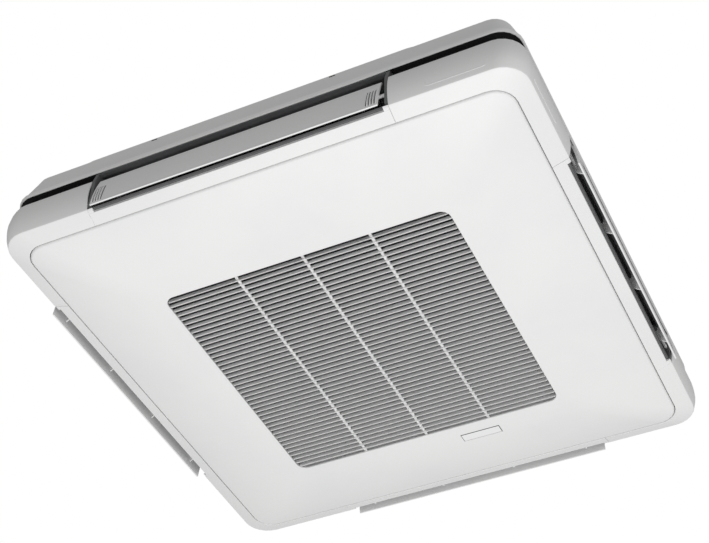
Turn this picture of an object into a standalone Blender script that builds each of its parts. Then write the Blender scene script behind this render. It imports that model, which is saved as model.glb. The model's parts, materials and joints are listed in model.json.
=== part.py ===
"""Four-way blow ceiling-suspended air conditioner, indoor unit.

The unit hangs under a ceiling by four brackets. The origin is the centre of its top face and the domed
suction panel faces down. Each side has an air outlet with one hinged flap. The front is at -Y.
Sizes are in metres. A "rise" is a height above the seam round the suction panel, and a "half" is the
distance from the middle of the unit to a side.
"""

import math
from collections import namedtuple

import bmesh
import bpy
from mathutils import Matrix, Vector

Section = namedtuple("Section", "half radius rise")

# Walls and fits
PLASTIC_WALL = 0.0025
SHEET_WALL = 0.0012
FIT_GAP = 0.0003
CORNER_STEPS = 6

# Housing, seen in section from the seam up to the ceiling
RIM_HALF = 0.470
RIM_RADIUS = 0.0465
RIM_RISE = 0.0115
RIM_WIDTH = 0.0305
SEAM_HALF = RIM_HALF - RIM_WIDTH
SEAM_RADIUS = RIM_RADIUS - 0.0085
SEAM_GAP = 0.0014
COVER_HEIGHT = 0.0715
COVER_BULGE = 0.0045
COVER_LIP = 0.007
COVER_TOP_RISE = RIM_RISE + COVER_HEIGHT
COVER_TOP_HALF = RIM_HALF - 0.0023
COVER_TOP_RADIUS = RIM_RADIUS - 0.0045
BAND_HEIGHT = 0.0232
LIP_HEIGHT = 0.007
LIP_STEP = 0.003
LIP_DROP = 0.0012
LIP_DROP_SLOPE = 0.048
LIP_RISE = COVER_TOP_RISE + BAND_HEIGHT
LIP_HALF = RIM_HALF - 0.005
LIP_RADIUS = RIM_RADIUS - 0.0065
CASING_HEIGHT = 0.0648
BODY_HEIGHT = LIP_RISE + CASING_HEIGHT
TOP_EDGE = 0.0055
TOP_HALF = LIP_HALF - 0.019
TOP_RADIUS = LIP_RADIUS - 0.006
FIELD_SWELL = 0.0022
FIELD_MARGIN = 0.0235
FIELD_SLOPE = 0.018
REBATE = 0.0015
REBATE_LEDGE = 0.008
PLATE_HALF = TOP_HALF - TOP_EDGE - 0.0051

# Frame under the machinery, and the dark liner behind each corner cover
FRAME_WALL = 0.002
FRAME_FLANGE_RISE = RIM_RISE - 0.0032
FRAME_SHELF_HEIGHT = 0.0160
FRAME_SHELF_RISE = FRAME_FLANGE_RISE + FRAME_SHELF_HEIGHT
FRAME_WEB_HALF = SEAM_HALF + 0.004
FRAME_OUTER_HALF = FRAME_WEB_HALF + 0.0085
LINER_HALF = LIP_HALF - PLASTIC_WALL - FIT_GAP
LINER_RISE = LIP_RISE + 0.002

# Air outlets, one on each side, each set off the middle of its side
CORNER_LENGTH = 0.1975
OUTLET_HALF_LENGTH = RIM_HALF - CORNER_LENGTH
OUTLET_OFFSET = 0.020
DUCT_WALL = 0.003
DUCT_END_WALL = 0.0062
DUCT_DEPTH = 0.066
DUCT_INNER_HALF = RIM_HALF - DUCT_DEPTH
DUCT_FLOOR_RISE = RIM_RISE + 0.0025
DUCT_TOP_RISE = LIP_RISE - 0.0015
DUCT_BACK_FLOOR_RISE = FRAME_SHELF_RISE + FRAME_WALL + FIT_GAP
DUCT_BACK_TOP_RISE = DUCT_TOP_RISE + 0.0135
RAIL_SETBACK = 0.0075
RAIL_TAB_LENGTH = 0.0095

# Flaps
FLAP_END_GAP = 0.013
FLAP_AXIS_HALF = RIM_HALF - 0.006
FLAP_LOW_HALF = RIM_HALF + 0.012
FLAP_LOW_RISE = RIM_RISE - 0.0045
FLAP_HIGH_HALF = RIM_HALF - 0.005
FLAP_HIGH_RISE = COVER_TOP_RISE - 0.004
FLAP_AXIS_RISE = (FLAP_LOW_RISE + FLAP_HIGH_RISE) / 2 + 0.003
FLAP_BULGE = 0.0025
FLAP_WALL = 0.0028
FLAP_ARMS = 4
FLAP_ARM_WALL = 0.0026
FLAP_ARM_DEPTH = 0.013
FLAP_ARM_INSET = 0.036
PIN_RADIUS = 0.003
PIN_CLEARANCE = 0.0004

# Suction panel and its grille
PANEL_EDGE_RADIUS = 0.004
PANEL_SKIRT_RISE = FRAME_FLANGE_RISE - FIT_GAP
DOME_DEPTH = 0.027
DOME_WIDTH = 0.177
DOME_STEPS = 7
GRILLE_HALF = SEAM_HALF - DOME_WIDTH
GRILLE_RADIUS = 0.018
GRILLE_RING_INNER = 0.0045
GRILLE_RING_OUTER = 0.0095
SLAT_PITCH = 0.012
SLAT_WALL = 0.002
SLAT_HEIGHT = 0.013
SLAT_LEAN = 0.0055
SLAT_END_GAP = 0.0022
SLAT_END_FLARE = (GRILLE_RING_INNER + GRILLE_RING_OUTER) / 2 + 0.0015
SLAT_COUNT = 2 * int((GRILLE_HALF - 0.008) / SLAT_PITCH) + 1
GRILLE_RIB_PITCH = 0.4735 * GRILLE_HALF
GRILLE_RIB_WALL = 0.005
GRILLE_RIB_HEIGHT = 0.003
GRILLE_RIB_RECESS = PLASTIC_WALL + 2 * FIT_GAP
FILTER_HALF = GRILLE_HALF + 0.0085
FILTER_BORDER = 0.012
FILTER_HEIGHT = 0.008
FILTER_NET_WALL = 0.0008
FILTER_BAR = 0.003
FILTER_BARS = 3

# Panel hinge, along the front edge
HINGE_AXIS_INSET = 0.0172
HINGE_AXIS_RISE = 0.0005
HINGE_POSITION = OUTLET_HALF_LENGTH - 0.0425
HINGE_EYE_RADIUS = 0.0024
HINGE_PIN_RADIUS = 0.0012
HINGE_BORE_RADIUS = HINGE_PIN_RADIUS + 0.0004
HINGE_EYE_WIDTH = 0.012
HINGE_LUG_WALL = 0.003
HINGE_SIDE_GAP = 0.001
HINGE_FOOT = 0.014

# Drain pan and heat exchanger
PAN_OUTER_HALF = DUCT_INNER_HALF - 0.006
PAN_WIDTH = 0.113
PAN_INNER_HALF = PAN_OUTER_HALF - PAN_WIDTH
PAN_HEIGHT = 0.036
PAN_RADIUS = 0.060
TROUGH_DEPTH = 0.020
TROUGH_MARGIN = 0.006
FRAME_INNER_HALF = PAN_OUTER_HALF - 0.013
COIL_OUTER_HALF = PAN_OUTER_HALF - 0.053
COIL_WIDTH = 0.027
COIL_RADIUS = 0.080
COIL_TOP_RISE = BODY_HEIGHT - 0.013

# Bell mouth, fan and motor
BELL_WALL = 0.002
BELL_PLATE_HALF = PAN_INNER_HALF + 0.015
BELL_MOUTH_RADIUS = 0.75 * PAN_INNER_HALF
BELL_THROAT_RADIUS = 0.80 * BELL_MOUTH_RADIUS
BELL_THROAT_RISE = 0.34 * BODY_HEIGHT
BELL_COLLAR = 0.013
FAN_WALL = 0.0025
FAN_INLET_RADIUS = BELL_THROAT_RADIUS + 0.008
FAN_TO_COIL = 0.080
FAN_RADIUS = COIL_OUTER_HALF - COIL_WIDTH - FAN_TO_COIL
FAN_BLADES = 7
FAN_BLADE_OVERLAP = 0.050
FAN_BLADE_INNER_RADIUS = FAN_INLET_RADIUS - FAN_BLADE_OVERLAP
FAN_BLADE_SWEEP = math.radians(38)
FAN_BLADE_WALL = 0.003
FAN_SHROUD_LOW_RISE = BELL_THROAT_RISE + 0.008
FAN_SHROUD_HIGH_RISE = FAN_SHROUD_LOW_RISE + 0.038
FAN_EYE_RISE = FAN_SHROUD_HIGH_RISE - 0.006
FAN_BACK_RISE = BODY_HEIGHT - 0.021
FAN_HUB_RADIUS = 0.072
SHAFT_RADIUS = 0.0065
MOTOR_RADIUS = FAN_HUB_RADIUS - 0.020
MOTOR_LOW_RISE = FAN_EYE_RISE + 0.014
MOTOR_FOOT_RADIUS = FAN_HUB_RADIUS - 0.002
MOTOR_FOOT_RISE = BODY_HEIGHT - 0.011

# Controls and hanging brackets
CONTROL_BOX = Vector((0.260, 0.080, 0.020))
CONTROL_BOX_Y = FRAME_INNER_HALF - CONTROL_BOX.y / 2 - 0.0025
HANGER_INSET = 0.066
HANGER_X = TOP_HALF - HANGER_INSET
HANGER_Y = HANGER_X - 0.040
HANGER_LENGTH = 0.070
HANGER_WIDTH = 0.050
HANGER_WALL = 0.003
HANGER_LEG = 0.040
HANGER_SLOT = Vector((0.030, 0.012, 0.020))
HANGER_WINDOW = Vector((HANGER_LENGTH - 0.016, HANGER_WIDTH - 0.014, 0.020))


def level(rise):
    """World height of a rise above the panel's seam."""
    return rise - BODY_HEIGHT


def make_material(name, colour, roughness, metallic=0.0):
    material = bpy.data.materials.new(name)
    material.use_nodes = True
    shader = material.node_tree.nodes["Principled BSDF"]
    shader.inputs["Base Color"].default_value = (*colour, 1.0)
    shader.inputs["Roughness"].default_value = roughness
    shader.inputs["Metallic"].default_value = metallic
    return material


def clear_scene():
    for leftover in list(bpy.data.objects):
        bpy.data.objects.remove(leftover, do_unlink=True)


def rounded_square(half, radius, z):
    """Closed outline of a square with rounded corners, from the front right corner counter-clockwise."""
    points = []
    for sign_x, sign_y, start in ((1, -1, -90), (1, 1, 0), (-1, 1, 90), (-1, -1, 180)):
        for step in range(CORNER_STEPS + 1):
            angle = math.radians(start + 90 * step / CORNER_STEPS)
            x = sign_x * (half - radius) + radius * math.cos(angle)
            y = sign_y * (half - radius) + radius * math.sin(angle)
            points.append(Vector((x, y, z)))
    return points


def circle(radius, z, count=4 * (CORNER_STEPS + 1)):
    """Closed ring with as many points as a rounded square, which start at the same corner."""
    turn = 2 * math.pi / count
    angles = (-math.pi / 2 + (step + 0.5) * turn for step in range(count))
    return [Vector((radius * math.cos(a), radius * math.sin(a), z)) for a in angles]


def corner_path(half, radius, z, arm):
    """Open line round the front right corner, between cut ends at the distance arm from each middle plane."""
    quarter = rounded_square(half, radius, z)[: CORNER_STEPS + 1]
    return [Vector((arm, -half, z)), *quarter, Vector((half, -arm, z))]


def bulged(start, end, sag, steps):
    """Sections after start up to end, on an arc that bulges to the right of the way by sag."""
    along = Vector((end.half - start.half, end.rise - start.rise))
    outward = Vector((along.y, -along.x)).normalized()
    points = []
    for step in range(1, steps + 1):
        share = step / steps
        swell = outward * sag * 4 * share * (1 - share)
        points.append(
            Section(
                start.half + along.x * share + swell.x,
                start.radius + (end.radius - start.radius) * share,
                start.rise + along.y * share + swell.y,
            )
        )
    return points


def wall_section(outline, wall):
    """Closed section of a wall: the outline, and the same line moved to its left by the wall."""
    inner = []
    for index, point in enumerate(outline):
        normals = []
        for first, second in ((index - 1, index), (index, index + 1)):
            if 0 <= first and second < len(outline):
                a, b = outline[first], outline[second]
                normals.append(Vector((a.rise - b.rise, b.half - a.half)).normalized())
        shift = sum(normals, Vector((0, 0)))
        if len(normals) == 2:
            shift = shift / (1 + normals[0].dot(normals[1]))
        shift = shift * wall
        inner.append(
            Section(point.half + shift.x, max(point.radius + shift.x, wall), point.rise + shift.y)
        )
    return [*outline, *reversed(inner)]


def skin(rows, wrap_rows=True, wrap_points=True):
    """Closed mesh through rows of points. What isn't wrapped round is closed by end caps."""
    shape = bmesh.new()
    grid = [[shape.verts.new(point) for point in row] for row in rows]
    count = len(grid[0])
    for index in range(len(grid) if wrap_rows else len(grid) - 1):
        row, next_row = grid[index], grid[(index + 1) % len(grid)]
        for step in range(count if wrap_points else count - 1):
            after = (step + 1) % count
            shape.faces.new((row[step], row[after], next_row[after], next_row[step]))
    if not wrap_rows:
        shape.faces.new(grid[0])
        shape.faces.new(grid[-1])
    if not wrap_points:
        shape.faces.new([row[0] for row in grid])
        shape.faces.new([row[-1] for row in grid])
    return finished_mesh(shape)


def finished_mesh(shape):
    bmesh.ops.recalc_face_normals(shape, faces=shape.faces)
    mesh = bpy.data.meshes.new("mesh")
    shape.to_mesh(mesh)
    shape.free()
    return mesh


def ring_wall(section):
    """Wall that runs all round the unit with this closed section."""
    return skin([rounded_square(s.half, s.radius, level(s.rise)) for s in section])


def corner_wall(section, arm):
    """Wall round the front right corner with this closed section."""
    return skin([corner_path(s.half, s.radius, level(s.rise), arm) for s in section], wrap_points=False)


def turned(profile, count=4 * (CORNER_STEPS + 1)):
    """Ring turned about the unit's middle from a closed profile of (radius, rise)."""
    return skin([circle(radius, level(rise), count) for radius, rise in profile])


def turned_solid(profile, count=4 * (CORNER_STEPS + 1)):
    """Solid turned about the unit's middle, with flat ends."""
    return skin([circle(radius, level(rise), count) for radius, rise in profile], wrap_rows=False)


def prism(outline, low_x, high_x):
    """Outline of (y, z) points extruded along X."""
    rows = [[Vector((x, y, z)) for y, z in outline] for x in (low_x, high_x)]
    return skin(rows, wrap_rows=False)


def side_prism(outline, low_x, high_x):
    """Outline of (half, rise) points on the front side, extruded along that side."""
    return prism([(-half, level(rise)) for half, rise in outline], low_x, high_x)


def block(low, high):
    low, high = Vector(low), Vector(high)
    outline = [(low.y, low.z), (high.y, low.z), (high.y, high.z), (low.y, high.z)]
    return prism(outline, low.x, high.x)


def rod(radius, low_x, high_x, y, z, count=12):
    """Round rod along X."""
    turn = 2 * math.pi / count
    outline = [
        (y + radius * math.cos(step * turn), z + radius * math.sin(step * turn)) for step in range(count)
    ]
    return prism(outline, low_x, high_x)


def gathered(meshes):
    """One mesh that holds several which don't touch."""
    shape = bmesh.new()
    for mesh in meshes:
        shape.from_mesh(mesh)
    return finished_mesh(shape)


def carved(mesh, steps):
    """Mesh after a row of Booleans, each given as (operation, other mesh)."""
    target = bpy.data.objects.new("target", mesh)
    bpy.context.collection.objects.link(target)
    helpers = [target]
    for operation, other in steps:
        helper = bpy.data.objects.new("helper", other)
        bpy.context.collection.objects.link(helper)
        helper.hide_render = True
        helper.display_type = "WIRE"
        helpers.append(helper)
        modifier = target.modifiers.new(operation.lower(), "BOOLEAN")
        modifier.operation = operation
        modifier.object = helper
        modifier.solver = "EXACT"
    graph = bpy.context.evaluated_depsgraph_get()
    result = bpy.data.meshes.new_from_object(target.evaluated_get(graph))
    for helper in helpers:
        bpy.data.objects.remove(helper, do_unlink=True)
    return result


def moved(mesh, offset):
    copy = mesh.copy()
    copy.transform(Matrix.Translation(offset))
    return copy


def add_part(name, mesh, material, parent=None, location=(0, 0, 0), turn=0.0):
    """Object with its own copy of the mesh, so that each carries its own material."""
    part = bpy.data.objects.new(name, mesh.copy())
    part.data.name = name
    part.data.materials.clear()
    part.data.materials.append(material)
    part.data.shade_smooth()
    part.data.set_sharp_from_angle(angle=math.radians(30))
    part.location = location
    part.rotation_euler.z = turn
    part.parent = parent
    bpy.context.collection.objects.link(part)
    return part


def add_empty(name, location=(0, 0, 0), turn=0.0):
    empty = bpy.data.objects.new(name, None)
    empty.location = location
    empty.rotation_euler.z = turn
    bpy.context.collection.objects.link(empty)
    return empty


def on_each_side(mesh):
    """Copies of a mesh made for the middle of the front outlet, one over each outlet."""
    copies = []
    for quarter in range(4):
        shift = -OUTLET_OFFSET if quarter % 2 == 0 else OUTLET_OFFSET
        copy = moved(mesh, (shift, 0, 0))
        copy.transform(Matrix.Rotation(quarter * math.pi / 2, 4, "Z"))
        copies.append(copy)
    return gathered(copies)


def lip_strip():
    """Lower part of the casing's lip over the front outlet, with sloping ends."""
    end = OUTLET_HALF_LENGTH
    flat = end - LIP_DROP_SLOPE
    low, high = LIP_RISE - LIP_DROP, LIP_RISE + LIP_HEIGHT / 2
    outline = [(-end, high), (-end, LIP_RISE), (-flat, low), (flat, low), (end, LIP_RISE), (end, high)]
    rows = [
        [Vector((x, -half, level(rise))) for x, rise in outline]
        for half in (LIP_HALF, LIP_HALF - PLASTIC_WALL)
    ]
    return skin(rows, wrap_rows=False)


def swollen_field():
    """Field of the casing's wall over the front outlet, which stands out more and more towards the top."""
    flat = OUTLET_HALF_LENGTH + FIELD_MARGIN
    end = flat + FIELD_SLOPE
    sunk = 0.0002
    low = (LIP_HALF - LIP_STEP - sunk, 0, LIP_RISE + LIP_HEIGHT + LIP_STEP)
    high = (TOP_HALF - sunk, FIELD_SWELL, BODY_HEIGHT - TOP_EDGE)
    rows = []
    for half, swell, rise in (low, high):
        back = half - PLASTIC_WALL / 2
        outline = [(-end, half), (-flat, half + swell), (flat, half + swell), (end, half)]
        outline += [(end, back), (-end, back)]
        rows.append([Vector((x, -y, level(rise))) for x, y in outline])
    return skin(rows, wrap_rows=False)


def make_top(white, steel):
    """Moulded top casing with its lip, the steel plate that closes it and the four hanging brackets."""
    top_corner = Section(TOP_HALF, TOP_RADIUS, BODY_HEIGHT - TOP_EDGE)
    flat_edge = Section(TOP_HALF - TOP_EDGE, TOP_RADIUS - TOP_EDGE, BODY_HEIGHT)
    ledge = Section(PLATE_HALF + FIT_GAP, TOP_RADIUS - TOP_EDGE, BODY_HEIGHT)
    outline = [
        Section(LIP_HALF, LIP_RADIUS, LIP_RISE),
        Section(LIP_HALF, LIP_RADIUS, LIP_RISE + LIP_HEIGHT),
        Section(LIP_HALF - LIP_STEP, LIP_RADIUS - LIP_STEP, LIP_RISE + LIP_HEIGHT + LIP_STEP),
        top_corner,
        *bulged(top_corner, flat_edge, 0.2 * TOP_EDGE, 3),
        ledge,
        ledge._replace(rise=BODY_HEIGHT - REBATE),
        ledge._replace(half=ledge.half - REBATE_LEDGE, rise=BODY_HEIGHT - REBATE),
    ]
    casing = ring_wall(wall_section(outline, PLASTIC_WALL))
    steps = [("UNION", on_each_side(lip_strip())), ("UNION", on_each_side(swollen_field()))]
    add_part("top_casing", carved(casing, steps), white)

    plate_low = -SHEET_WALL
    plate_radius = ledge.radius - FIT_GAP
    plate = skin(
        [rounded_square(PLATE_HALF, plate_radius, z) for z in (plate_low, 0)], wrap_rows=False
    )
    corners = [(x, y) for x in (-HANGER_X, HANGER_X) for y in (-HANGER_Y, HANGER_Y)]
    windows = [block(-HANGER_WINDOW / 2, HANGER_WINDOW / 2) for _ in corners]
    windows = [moved(window, (x, y, 0)) for window, (x, y) in zip(windows, corners)]
    add_part("top_plate", carved(plate, [("DIFFERENCE", gathered(windows))]), steel)

    top = plate_low - FIT_GAP
    half_length, half_width = HANGER_LENGTH / 2, HANGER_WIDTH / 2
    profile = [
        (-half_width, top),
        (-half_width, top - HANGER_LEG),
        (-half_width + HANGER_WALL, top - HANGER_LEG),
        (-half_width + HANGER_WALL, top - HANGER_WALL),
        (half_width, top - HANGER_WALL),
        (half_width, top),
    ]
    slot = block(-HANGER_SLOT / 2, HANGER_SLOT / 2)
    bracket = carved(prism(profile, -half_length, half_length), [("DIFFERENCE", slot)])
    names = ("front_left", "back_left", "front_right", "back_right")
    for name, (x, y) in zip(names, corners):
        turn = 0 if y < 0 else math.pi
        add_part(f"hanger_bracket_{name}", bracket, steel, location=(x, y, 0), turn=turn)


def cover_outline():
    """Outer face of a corner cover, from the skirt at the seam out and up to the rolled top edge."""
    seam = Section(SEAM_HALF + SEAM_GAP / 2, SEAM_RADIUS + SEAM_GAP / 2, 0.0008)
    rim_low = Section(RIM_HALF - 0.003, RIM_RADIUS - 0.001, RIM_RISE - 0.0012)
    rim_high = Section(RIM_HALF + 0.0005, RIM_RADIUS, RIM_RISE + 0.003)
    shoulder = Section(COVER_TOP_HALF + 0.002, COVER_TOP_RADIUS + 0.002, COVER_TOP_RISE - 0.003)
    lip = Section(COVER_TOP_HALF - COVER_LIP, COVER_TOP_RADIUS - COVER_LIP, COVER_TOP_RISE + 0.0015)
    return [
        seam._replace(rise=FRAME_FLANGE_RISE - FIT_GAP),
        seam,
        rim_low,
        *bulged(rim_low, rim_high, 0.0009, 2),
        *bulged(rim_high, shoulder, COVER_BULGE, 5),
        *bulged(shoulder, lip, 0.0016, 2),
    ]


def make_corners(white, black):
    """Four corner covers and the dark liners behind them, with wide arms on two opposite corners."""
    liner_low = FRAME_FLANGE_RISE + FRAME_WALL + FIT_GAP
    foot = Section(FRAME_OUTER_HALF, SEAM_RADIUS, liner_low)
    bend = Section(FRAME_OUTER_HALF, SEAM_RADIUS, LINER_RISE)
    flange = Section(LINER_HALF, LIP_RADIUS - (LIP_HALF - LINER_HALF), LINER_RISE)
    liner_section = wall_section([foot, bend, flange], SHEET_WALL)
    cover_section = wall_section(cover_outline(), PLASTIC_WALL)
    names = ("front_right", "back_right", "back_left", "front_left")
    for quarter, name in enumerate(names):
        sign = -1 if quarter % 2 == 0 else 1
        arm = OUTLET_HALF_LENGTH + sign * OUTLET_OFFSET
        turn = quarter * math.pi / 2
        add_part(f"corner_cover_{name}", corner_wall(cover_section, arm), white, turn=turn)
        add_part(f"corner_liner_{name}", corner_wall(liner_section, arm), black, turn=turn)


def duct_mesh():
    """Outlet duct: floor, top and end walls with a bore for each flap pin, open at the front and back."""
    end_half = OUTLET_HALF_LENGTH - FIT_GAP
    ramp = FRAME_WEB_HALF + 0.0025
    front = RIM_HALF
    outline = [
        (DUCT_INNER_HALF, DUCT_BACK_FLOOR_RISE),
        (ramp, DUCT_BACK_FLOOR_RISE),
        (FRAME_OUTER_HALF, DUCT_FLOOR_RISE),
        (front - 0.005, DUCT_FLOOR_RISE),
        (front, DUCT_FLOOR_RISE + 0.008),
        (front, COVER_TOP_RISE - 0.004),
        (LINER_HALF, LIP_RISE - LIP_DROP - 0.0005),
        (LINER_HALF, DUCT_TOP_RISE),
        (LIP_HALF - 0.010, DUCT_TOP_RISE),
        (ramp, DUCT_BACK_TOP_RISE - 0.002),
        (DUCT_INNER_HALF, DUCT_BACK_TOP_RISE),
    ]
    way_through = [
        (DUCT_INNER_HALF - 0.01, DUCT_BACK_FLOOR_RISE + DUCT_WALL),
        (ramp + 0.001, DUCT_BACK_FLOOR_RISE + DUCT_WALL),
        (FRAME_OUTER_HALF + 0.001, DUCT_FLOOR_RISE + DUCT_WALL),
        (front + 0.01, DUCT_FLOOR_RISE + DUCT_WALL),
        (front + 0.01, DUCT_TOP_RISE - LIP_DROP / 2 - DUCT_WALL),
        (LIP_HALF - 0.0115, DUCT_TOP_RISE - DUCT_WALL),
        (ramp - 0.001, DUCT_BACK_TOP_RISE - 0.002 - DUCT_WALL),
        (DUCT_INNER_HALF - 0.01, DUCT_BACK_TOP_RISE - DUCT_WALL),
    ]
    inner_half = end_half - DUCT_END_WALL
    bore = rod(
        PIN_RADIUS + PIN_CLEARANCE, -end_half - 0.01, end_half + 0.01, -FLAP_AXIS_HALF, level(FLAP_AXIS_RISE)
    )
    return carved(
        side_prism(outline, -end_half, end_half),
        [("DIFFERENCE", side_prism(way_through, -inner_half, inner_half)), ("DIFFERENCE", bore)],
    )


def rail_mesh():
    """Rim strip under an outlet, set back from the rim between its two end tabs."""
    rail_half = RIM_HALF - RAIL_SETBACK
    seam, rim_low = cover_outline()[1:3]
    slope = (rim_low.rise - seam.rise) / (rim_low.half - seam.half)
    edge = Section(rail_half, 0, seam.rise + slope * (rail_half - seam.half))
    top = Section(rail_half, 0, DUCT_FLOOR_RISE - FIT_GAP)
    outline = [seam._replace(rise=FRAME_FLANGE_RISE - FIT_GAP), seam, edge, top]
    section = [(s.half, s.rise) for s in wall_section(outline, PLASTIC_WALL)]
    end_half = OUTLET_HALF_LENGTH - FIT_GAP
    tab = [
        (edge.half - 0.002, edge.rise - slope * 0.002 + 0.0004),
        (rim_low.half, rim_low.rise),
        (RIM_HALF - 0.0005, RIM_RISE + 0.0015),
        (rail_half - 0.0012, top.rise),
    ]
    tabs = [
        side_prism(tab, -end_half, -end_half + RAIL_TAB_LENGTH),
        side_prism(tab, end_half - RAIL_TAB_LENGTH, end_half),
    ]
    return carved(side_prism(section, -end_half, end_half), [("UNION", gathered(tabs))])


def flap_mesh():
    """Bowed blade with arms behind it and a pin at each end, about its own hinge axis along X."""
    low = Section(FLAP_LOW_HALF - FLAP_AXIS_HALF, 0, FLAP_LOW_RISE - FLAP_AXIS_RISE)
    high = Section(FLAP_HIGH_HALF - FLAP_AXIS_HALF, 0, FLAP_HIGH_RISE - FLAP_AXIS_RISE)
    outline = [low, *bulged(low, high, FLAP_BULGE, 7)]
    section = wall_section(outline, FLAP_WALL)
    half_length = OUTLET_HALF_LENGTH - FLAP_END_GAP
    blade = prism([(-s.half, s.rise) for s in section], -half_length, half_length)
    inside = list(reversed(section[len(outline) :]))
    middle_line = [(-(o.half + i.half) / 2, (o.rise + i.rise) / 2) for o, i in zip(outline, inside)]
    arm = [
        *middle_line[1:-1],
        (PIN_RADIUS * 0.6, PIN_RADIUS * 1.8),
        (FLAP_ARM_DEPTH, PIN_RADIUS),
        (FLAP_ARM_DEPTH, -PIN_RADIUS * 2),
        (FLAP_ARM_DEPTH * 0.4, -PIN_RADIUS * 5),
    ]
    reach = half_length - FLAP_ARM_INSET
    places = [reach * (2 * index / (FLAP_ARMS - 1) - 1) for index in range(FLAP_ARMS)]
    half_wall = FLAP_ARM_WALL / 2
    arms = gathered([prism(arm, place - half_wall, place + half_wall) for place in places])
    pin_end = OUTLET_HALF_LENGTH - 2 * FIT_GAP - PIN_CLEARANCE
    pins = gathered([rod(PIN_RADIUS, -pin_end, -reach, 0, 0), rod(PIN_RADIUS, reach, pin_end, 0, 0)])
    return carved(blade, [("UNION", arms), ("UNION", pins)])


def make_outlets(white, dark):
    """The duct, rail and flap of each side. Each side's frame is an empty in the middle of its outlet."""
    duct, rail, flap = duct_mesh(), rail_mesh(), flap_mesh()
    for quarter, name in enumerate(("front", "right", "back", "left")):
        turn = quarter * math.pi / 2
        shift = -OUTLET_OFFSET if quarter % 2 == 0 else OUTLET_OFFSET
        offset = Matrix.Rotation(turn, 3, "Z") @ Vector((shift, 0, 0))
        side = add_empty(f"outlet_{name}", offset, turn)
        add_part(f"outlet_duct_{name}", duct, dark, side)
        add_part(f"outlet_rail_{name}", rail, white, side)
        axis = (0, -FLAP_AXIS_HALF, level(FLAP_AXIS_RISE))
        add_part(f"air_flap_{name}", flap, white, side, axis)


def dome_rise(half):
    """Rise of the panel's lower face at this distance from the middle."""
    span = SEAM_HALF - GRILLE_HALF
    share = (half - GRILLE_HALF) / span
    return -DOME_DEPTH * (1 - share * share)


def panel_outline():
    """Lower face of the suction panel, from the grille out to the seam and up its skirt."""
    edge_half = SEAM_HALF - SEAM_GAP / 2
    outline = []
    for step in range(DOME_STEPS + 1):
        share = step / DOME_STEPS
        half = GRILLE_HALF + (edge_half - PANEL_EDGE_RADIUS - GRILLE_HALF) * share
        radius = GRILLE_RADIUS + (SEAM_RADIUS - PANEL_EDGE_RADIUS - GRILLE_RADIUS) * share
        outline.append(Section(half, radius, dome_rise(half)))
    corner = Section(edge_half, SEAM_RADIUS - SEAM_GAP / 2, PANEL_EDGE_RADIUS)
    outline += bulged(outline[-1], corner, 0.25 * PANEL_EDGE_RADIUS, 3)
    outline.append(corner._replace(rise=PANEL_SKIRT_RISE))
    return outline


def panel_mesh():
    """Domed panel with a hinge lug on each side of each hinge eye, and a pin between the lugs."""
    shell = ring_wall(wall_section(panel_outline(), PLASTIC_WALL))
    axis_half = SEAM_HALF - SEAM_GAP / 2 - HINGE_AXIS_INSET
    tip = HINGE_EYE_RADIUS + 0.0002
    lug = [
        (axis_half + 0.0050, dome_rise(axis_half + 0.0050) + PLASTIC_WALL * 0.6),
        (axis_half + tip, HINGE_AXIS_RISE + tip / 2),
        (axis_half + tip / 2, HINGE_AXIS_RISE + tip),
        (axis_half - tip / 2, HINGE_AXIS_RISE + tip),
        (axis_half - tip, HINGE_AXIS_RISE + tip / 2),
        (axis_half - 0.0060, dome_rise(axis_half - 0.0060) + PLASTIC_WALL * 0.6),
    ]
    gap = HINGE_EYE_WIDTH / 2 + HINGE_SIDE_GAP
    lugs, pins = [], []
    for middle in (-HINGE_POSITION, HINGE_POSITION):
        lugs.append(side_prism(lug, middle - gap - HINGE_LUG_WALL, middle - gap))
        lugs.append(side_prism(lug, middle + gap, middle + gap + HINGE_LUG_WALL))
        reach = gap + HINGE_LUG_WALL / 2
        pins.append(
            rod(HINGE_PIN_RADIUS, middle - reach, middle + reach, -axis_half, level(HINGE_AXIS_RISE))
        )
    return carved(shell, [("UNION", gathered(lugs)), ("UNION", gathered(pins))])


def slat_half_length(y):
    """Half the width of the rounded grille opening at this distance from its middle."""
    beyond = abs(y) - (GRILLE_HALF - GRILLE_RADIUS)
    if beyond <= 0:
        return GRILLE_HALF - FIT_GAP
    return GRILLE_HALF - FIT_GAP - GRILLE_RADIUS + math.sqrt(GRILLE_RADIUS**2 - beyond**2)


def slat_mesh(y, low):
    """Slat across the grille opening, which leans back and flares out above the panel to the ring."""
    foot = (y, low, -SLAT_END_GAP, (-1, 1))
    head = (y + SLAT_LEAN, low + SLAT_HEIGHT, SLAT_END_FLARE, (1, -1))
    rows = []
    for sign in (-1, 1):
        row = []
        for middle, z, flare, order in (foot, head):
            reach = slat_half_length(abs(middle) + SLAT_WALL / 2) + flare
            row += [Vector((sign * reach, middle + side * SLAT_WALL / 2, z)) for side in order]
        rows.append(row)
    return skin(rows, wrap_rows=False)


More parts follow.
